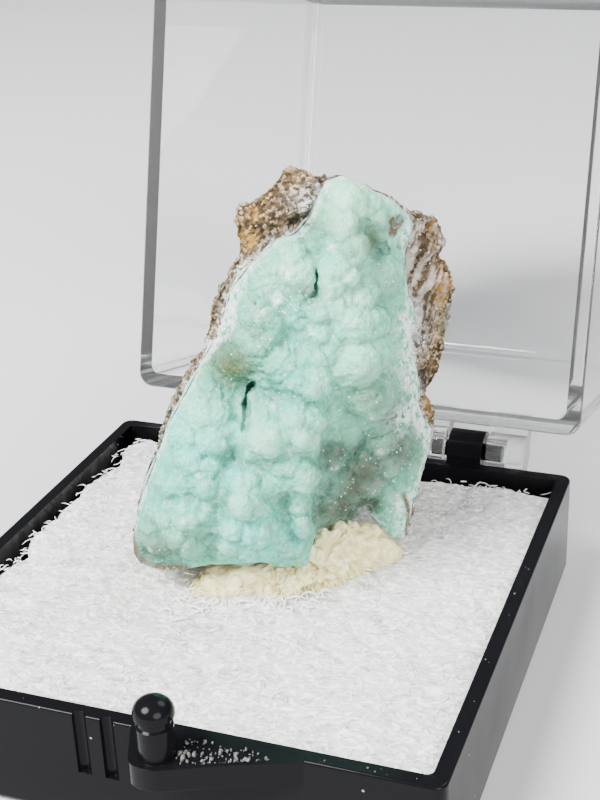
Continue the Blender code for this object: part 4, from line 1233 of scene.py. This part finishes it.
def makeFlecks():
    # Curls of torn cell wall lie all over the pad, wisps stand at its torn edges, and a few long
    # threads lie in front of the putty.
    rng = np.random.default_rng(17)
    half, count, wisps = foam["half"], foam["flecks"], foam["wisps"]
    reach = half - 0.35
    t = rng.uniform(-reach, reach, wisps)
    back = rng.random(wisps) < 0.5
    off = rng.uniform(0.4, 1.2, wisps)
    edge = np.column_stack([np.where(back, t, off - half), np.where(back, half - off, t)])
    spots = np.concatenate([rng.uniform(-reach, reach, (count, 2)), edge])
    total = len(spots)
    level = foam["top"] + foamHeight(*spots.T) + rng.uniform(-0.03, 0.02, total)
    lengths = rng.uniform(*foam["fleckLength"], total)
    lengths = lengths * np.where(np.arange(total) < count, 1, 1.5)
    heading = rng.normal(0.2, 1.1, total)
    bend = rng.uniform(-2.2, 2.2, total)
    widths = rng.uniform(0.05, 0.11, total)
    rise = lengths * rng.uniform(0.0, 0.12, total)
    starts = np.column_stack([spots, level])
    small, smallFaces = curls(starts, heading, lengths, bend, rise, widths, 5)

    count = foam["threads"]
    x = rng.uniform(-3.2, 5.0, count)
    y = -3.0 + 0.42 * np.maximum(x, -1.0) - rng.gamma(1.6, 0.45, count)
    starts = np.column_stack([x, y, foam["top"] + foamHeight(x, y) + 0.03])
    lengths = rng.uniform(*foam["threadLength"], count)
    heading = rng.normal(-1.4, 0.9, count)
    bend = rng.uniform(-2.8, 2.8, count)
    widths = rng.uniform(0.08, 0.17, count)
    large, largeFaces = curls(starts, heading, lengths, bend, lengths * 0.16, widths, 9)
    faces = np.concatenate([smallFaces, largeFaces + len(small)])
    return newPiece("foam_flecks", np.concatenate([small, large]) * mm, noQuads, faces)


def foamMaterial(name, bright, roughness, marked):
    # Marks are pale fibres and, as painted highlight, the crests of a drawn-out, twisted noise; its
    # hollows are painted shade.
    material, tree, shader = newMaterial(name, foam["surface"])
    place = objectPlace(tree)
    clouds, fine = cloudy(tree, place, 380.0, 4.0, 1.6), cloudy(tree, place, 3000.0, 4.0, 2.5)
    wide = useGroup(tree, felt, Place=place, Scale=1400.0, Share=0.8, Width=0.2)["Mask"]
    narrow = useGroup(tree, felt, Place=place, Scale=2300.0, Share=0.8, Width=0.2)["Mask"]
    fibres = maths(tree, "MAXIMUM", wide, times(tree, narrow, 0.7))
    drawn = addNode(tree, "VectorMath", {0: place, 1: (0.5, 1.1, 1.0)}, operation="MULTIPLY")
    looks = {"Vector": drawn.outputs[0], "Scale": 1500.0, "Detail": 3.0, "Distortion": 1.6}
    film = addNode(tree, "TexNoise", looks).outputs["Fac"]
    highlightCrests = ramp(tree, film, [(0.56, 0.0), (0.66, 1.0)])
    marks = times(tree, maths(tree, "MAXIMUM", times(tree, fibres, 0.6), highlightCrests), marked)
    shadeDips = times(tree, ramp(tree, film, [(0.3, 1.0), (0.46, 0.0)]), 0.75 * marked)
    low, high = bright
    base = mixColour(tree, clouds, (low, low, low * 0.99), (high, high, high * 0.985))
    base = mixColour(tree, times(tree, fine, 0.3 * marked), base, (0.92, 0.92, 0.90))
    # Painted shade in the noise's hollows, then painted highlight on its crests, with the pale
    # fibres
    base = mixColour(tree, shadeDips, base, (0.26,) * 3)
    base = mixColour(tree, marks, base, (0.99, 0.99, 0.975))
    tree.links.new(base, shader.inputs["Base Color"])
    tree.links.new(ramp(tree, marks, [(0.0, roughness), (1.0, 0.3)]), shader.inputs["Roughness"])
    bump(tree, shader, plus(tree, times(tree, fine, 0.4), marks), 0.8, 0.06 * mm)
    return material


foamPiece = makeFoam()
foamPiece.data.materials.append(foamMaterial("whiteFoam", (0.42, 0.66), 0.8, 1.0))
flecksPiece = makeFlecks()
flecksPiece.data.materials.append(foamMaterial("foamFleck", (0.93, 0.99), 0.4, 0.2))
for piece in (foamPiece, flecksPiece):
    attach(piece, "base")
    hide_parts("foam_insert")
print("foam made")


# ---- the moulded tray and lid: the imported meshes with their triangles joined

moulded = {"join": 1e-6, "level": 0.5, "sharp": 31, "rounded": 48}  # metres, then degrees


def joinedCopy(node, name, softened):
    # Points closer than "join" are one, and faces level within an angle are one face. Edges over
    # two more angles shade as sharp, and are rounded off.
    mesh = bpy.data.meshes.new(name)
    bm = bmesh.new()
    bm.from_mesh(nodes[node].data)
    bmesh.ops.remove_doubles(bm, verts=bm.verts, dist=moulded["join"])
    level = math.radians(moulded["level"])
    bmesh.ops.dissolve_limit(bm, angle_limit=level, verts=bm.verts, edges=bm.edges)
    bm.to_mesh(mesh)
    bm.free()
    for label in ("custom_normal", "UVMap"):
        if label in mesh.attributes:
            mesh.attributes.remove(mesh.attributes[label])
    mesh.materials.clear()
    mesh.shade_smooth()
    mesh.set_sharp_from_angle(angle=math.radians(moulded["sharp"]))
    piece = bpy.data.objects.new(name, mesh)
    bpy.context.scene.collection.objects.link(piece)
    edges = piece.modifiers.new("softEdges", "BEVEL")
    edges.width = softened * mm
    edges.segments = 2
    edges.limit_method = "ANGLE"
    edges.angle_limit = math.radians(moulded["rounded"])
    weighted = piece.modifiers.new("evenFlats", "WEIGHTED_NORMAL")
    weighted.keep_sharp = True
    weighted.weight = 100
    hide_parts(node)
    return piece


black = {"tint": (0.004, 0.004, 0.005), "gloss": 0.08, "dusty": 0.22, "shine": 0.08}


def blackMaterial():
    material, tree, shader = newMaterial("glossBlack", {"Specular IOR Level": black["shine"]})
    place = objectPlace(tree)
    clouds, fine = cloudy(tree, place, 150.0, 5.0, 2.0), cloudy(tree, place, 3800.0, 2.0, 2.0)
    dust = dotted(tree, fleck, place, 3600.0, 0.006)
    base = mixColour(tree, dust, black["tint"], (0.25,) * 3)
    tree.links.new(base, shader.inputs["Base Color"])
    rough = ramp(tree, clouds, [(0.1, black["gloss"]), (0.9, black["dusty"])])
    rough = mixColour(tree, dust, rough, (0.8,) * 3)
    tree.links.new(rough, shader.inputs["Roughness"])
    bump(tree, shader, fine, 0.03, 0.02 * mm)
    return material


clear = {
    "Base Color": (0.985, 0.99, 0.99, 1), "IOR": 1.55,
    "Transmission Weight": 0.97,  # a little below 1, so that the thick edges are grey, not black
}


def clearMaterial():
    material, tree, shader = newMaterial("clearPlastic", clear)
    clouds = cloudy(tree, objectPlace(tree), 120.0, 3.0, 2.0)
    tree.links.new(ramp(tree, clouds, [(0.2, 0.0), (0.9, 0.02)]), shader.inputs["Roughness"])
    bump(tree, shader, clouds, 0.04, 0.05 * mm)
    return material


trayPiece = joinedCopy("tray", "black_tray", 0.06)
trayPiece.data.materials.append(blackMaterial())
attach(trayPiece, "base")
lidPiece = joinedCopy("lid", "clear_lid", 0.03)
lidPiece.data.materials.append(clearMaterial())
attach(lidPiece, "lid")
print("tray and lid made")


# ---- loose foam crumbs on the latch tab and the rim

crumbs = {
    "tab": (3.3, 7.4, -17.6, -16.0, 6.7),  # x from, x to, y from, y to, level
    "heaps": 15,
    "onTab": 110,
    "onRim": 16,
}


def makeCrumbs():
    # Each crumb is a small ball of 80 faces, its corners drawn in or out at random.
    rng = np.random.default_rng(29)
    x0, x1, y0, y1, level = crumbs["tab"]
    onTab, onRim = crumbs["onTab"], crumbs["onRim"]
    heaps = [rng.uniform(x0, x1, crumbs["heaps"]), rng.uniform(y0, y1, crumbs["heaps"])]
    heaps = np.column_stack(heaps)
    near = heaps[rng.integers(0, len(heaps), onTab)] + rng.normal(0, 0.32, (onTab, 2))
    x = np.clip(near[:, 0], x0, x1)
    y = np.minimum(near[:, 1], y1)
    y = np.maximum(y, -17.9 + (x - 3.5) * 0.42)  # the tab's slanting edge
    side = rng.integers(0, 2, onRim)
    t = rng.uniform(-15.2, 15.2, onRim)
    off = rng.uniform(15.2, 15.6, onRim)
    x = np.concatenate([x, np.where(side == 0, t, off)])
    y = np.concatenate([y, np.where(side == 0, -off, t)])
    size = [rng.gamma(2.2, 0.04, onTab) + 0.04, rng.uniform(0.04, 0.11, onRim)]
    bm = bmesh.new()
    bmesh.ops.create_icosphere(bm, subdivisions=1, radius=0.5)
    ball = np.array([v.co[:] for v in bm.verts])
    pattern = np.array([[v.index for v in f.verts] for f in bm.faces])
    bm.free()
    count = len(x)
    shape = ball[None] * rng.uniform(0.5, 1.5, (count, len(ball), 1))
    shape = shape * rng.uniform(0.6, 1.3, (count, 1, 3)) * np.concatenate(size)[:, None, None]
    centres = np.column_stack([x, y, level - 0.02 - shape[..., 2].min(axis=1)])
    points = (centres[:, None, :] + shape).reshape(-1, 3)
    faces = (np.arange(count)[:, None, None] * len(ball) + pattern).reshape(-1, 3)
    return newPiece("foam_crumbs", points * mm, noQuads, faces)


crumbsPiece = makeCrumbs()
crumbsPiece.data.materials.append(foamMaterial("foamCrumb", (0.03, 0.11), 0.3, 0.08))
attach(crumbsPiece, "base")
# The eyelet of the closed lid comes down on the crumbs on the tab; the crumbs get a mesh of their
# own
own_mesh(crumbsPiece)
print("crumbs made")


# ---- floor, light and camera

def makeFloor():
    mesh = bpy.data.meshes.new("floor")
    size, level = 1.2, -0.00002
    corners = [(-size, -size), (size, -size), (size, size), (-size, size)]
    mesh.from_pydata([(x, y, level) for x, y in corners], [], [(0, 1, 2, 3)])
    floor = bpy.data.objects.new("floor", mesh)
    bpy.context.scene.collection.objects.link(floor)
    looks = {"Base Color": (0.62, 0.62, 0.63, 1), "Roughness": 0.85}
    mesh.materials.append(newMaterial("paleFloor", looks)[0])


def areaLight(name, place, target, size, power, colour=(1, 1, 1)):
    data = bpy.data.lights.new(name, "AREA")
    data.shape = "DISK"
    data.size = size
    data.energy = power
    data.color = colour
    light = bpy.data.objects.new(name, data)
    bpy.context.scene.collection.objects.link(light)
    facing = (Vector(place) - Vector(target)).to_track_quat("Z", "Y").to_matrix().to_4x4()
    light.matrix_world = Matrix.Translation(place) @ facing


makeFloor()
areaLight("key", (-0.18, -0.20, 0.33), (0, 0, 0.01), 0.24, 7.0)
areaLight("fill", (0.28, -0.26, 0.20), (0, 0, 0.01), 0.30, 2.8, (1, 0.98, 0.95))
areaLight("back", (0.16, 0.24, 0.38), (0, 0, 0.015), 0.24, 1.2, (0.95, 0.98, 1))
world = bpy.data.worlds.new("studio")
bpy.context.scene.world = world
world.use_nodes = True
background = world.node_tree.nodes["Background"].inputs
background["Color"].default_value = (0.80, 0.84, 0.88, 1)
background["Strength"].default_value = 0.3

camera = {
    "place": (0.0286, -0.06538, 0.0496),
    "right": (0.939, 0.342, -0.037),
    "up": (-0.111, 0.403, 0.909),
    "lens": 63.93,
}


def makeCamera():
    data = bpy.data.cameras.new("camera")
    data.lens = camera["lens"]
    data.sensor_width = 36
    data.clip_start = 0.005
    made = bpy.data.objects.new("camera", data)
    bpy.context.scene.collection.objects.link(made)
    right = np.array(camera["right"]) / np.linalg.norm(camera["right"])
    back = np.cross(right, camera["up"])
    back /= np.linalg.norm(back)
    up = np.cross(back, right)
    columns = np.eye(4)
    columns[:3] = stacked(right, up, back, camera["place"])
    made.matrix_world = Matrix(columns.tolist())
    bpy.context.scene.camera = made


makeCamera()
print("floor, light and camera ready")

bpy.context.view_layer.update()
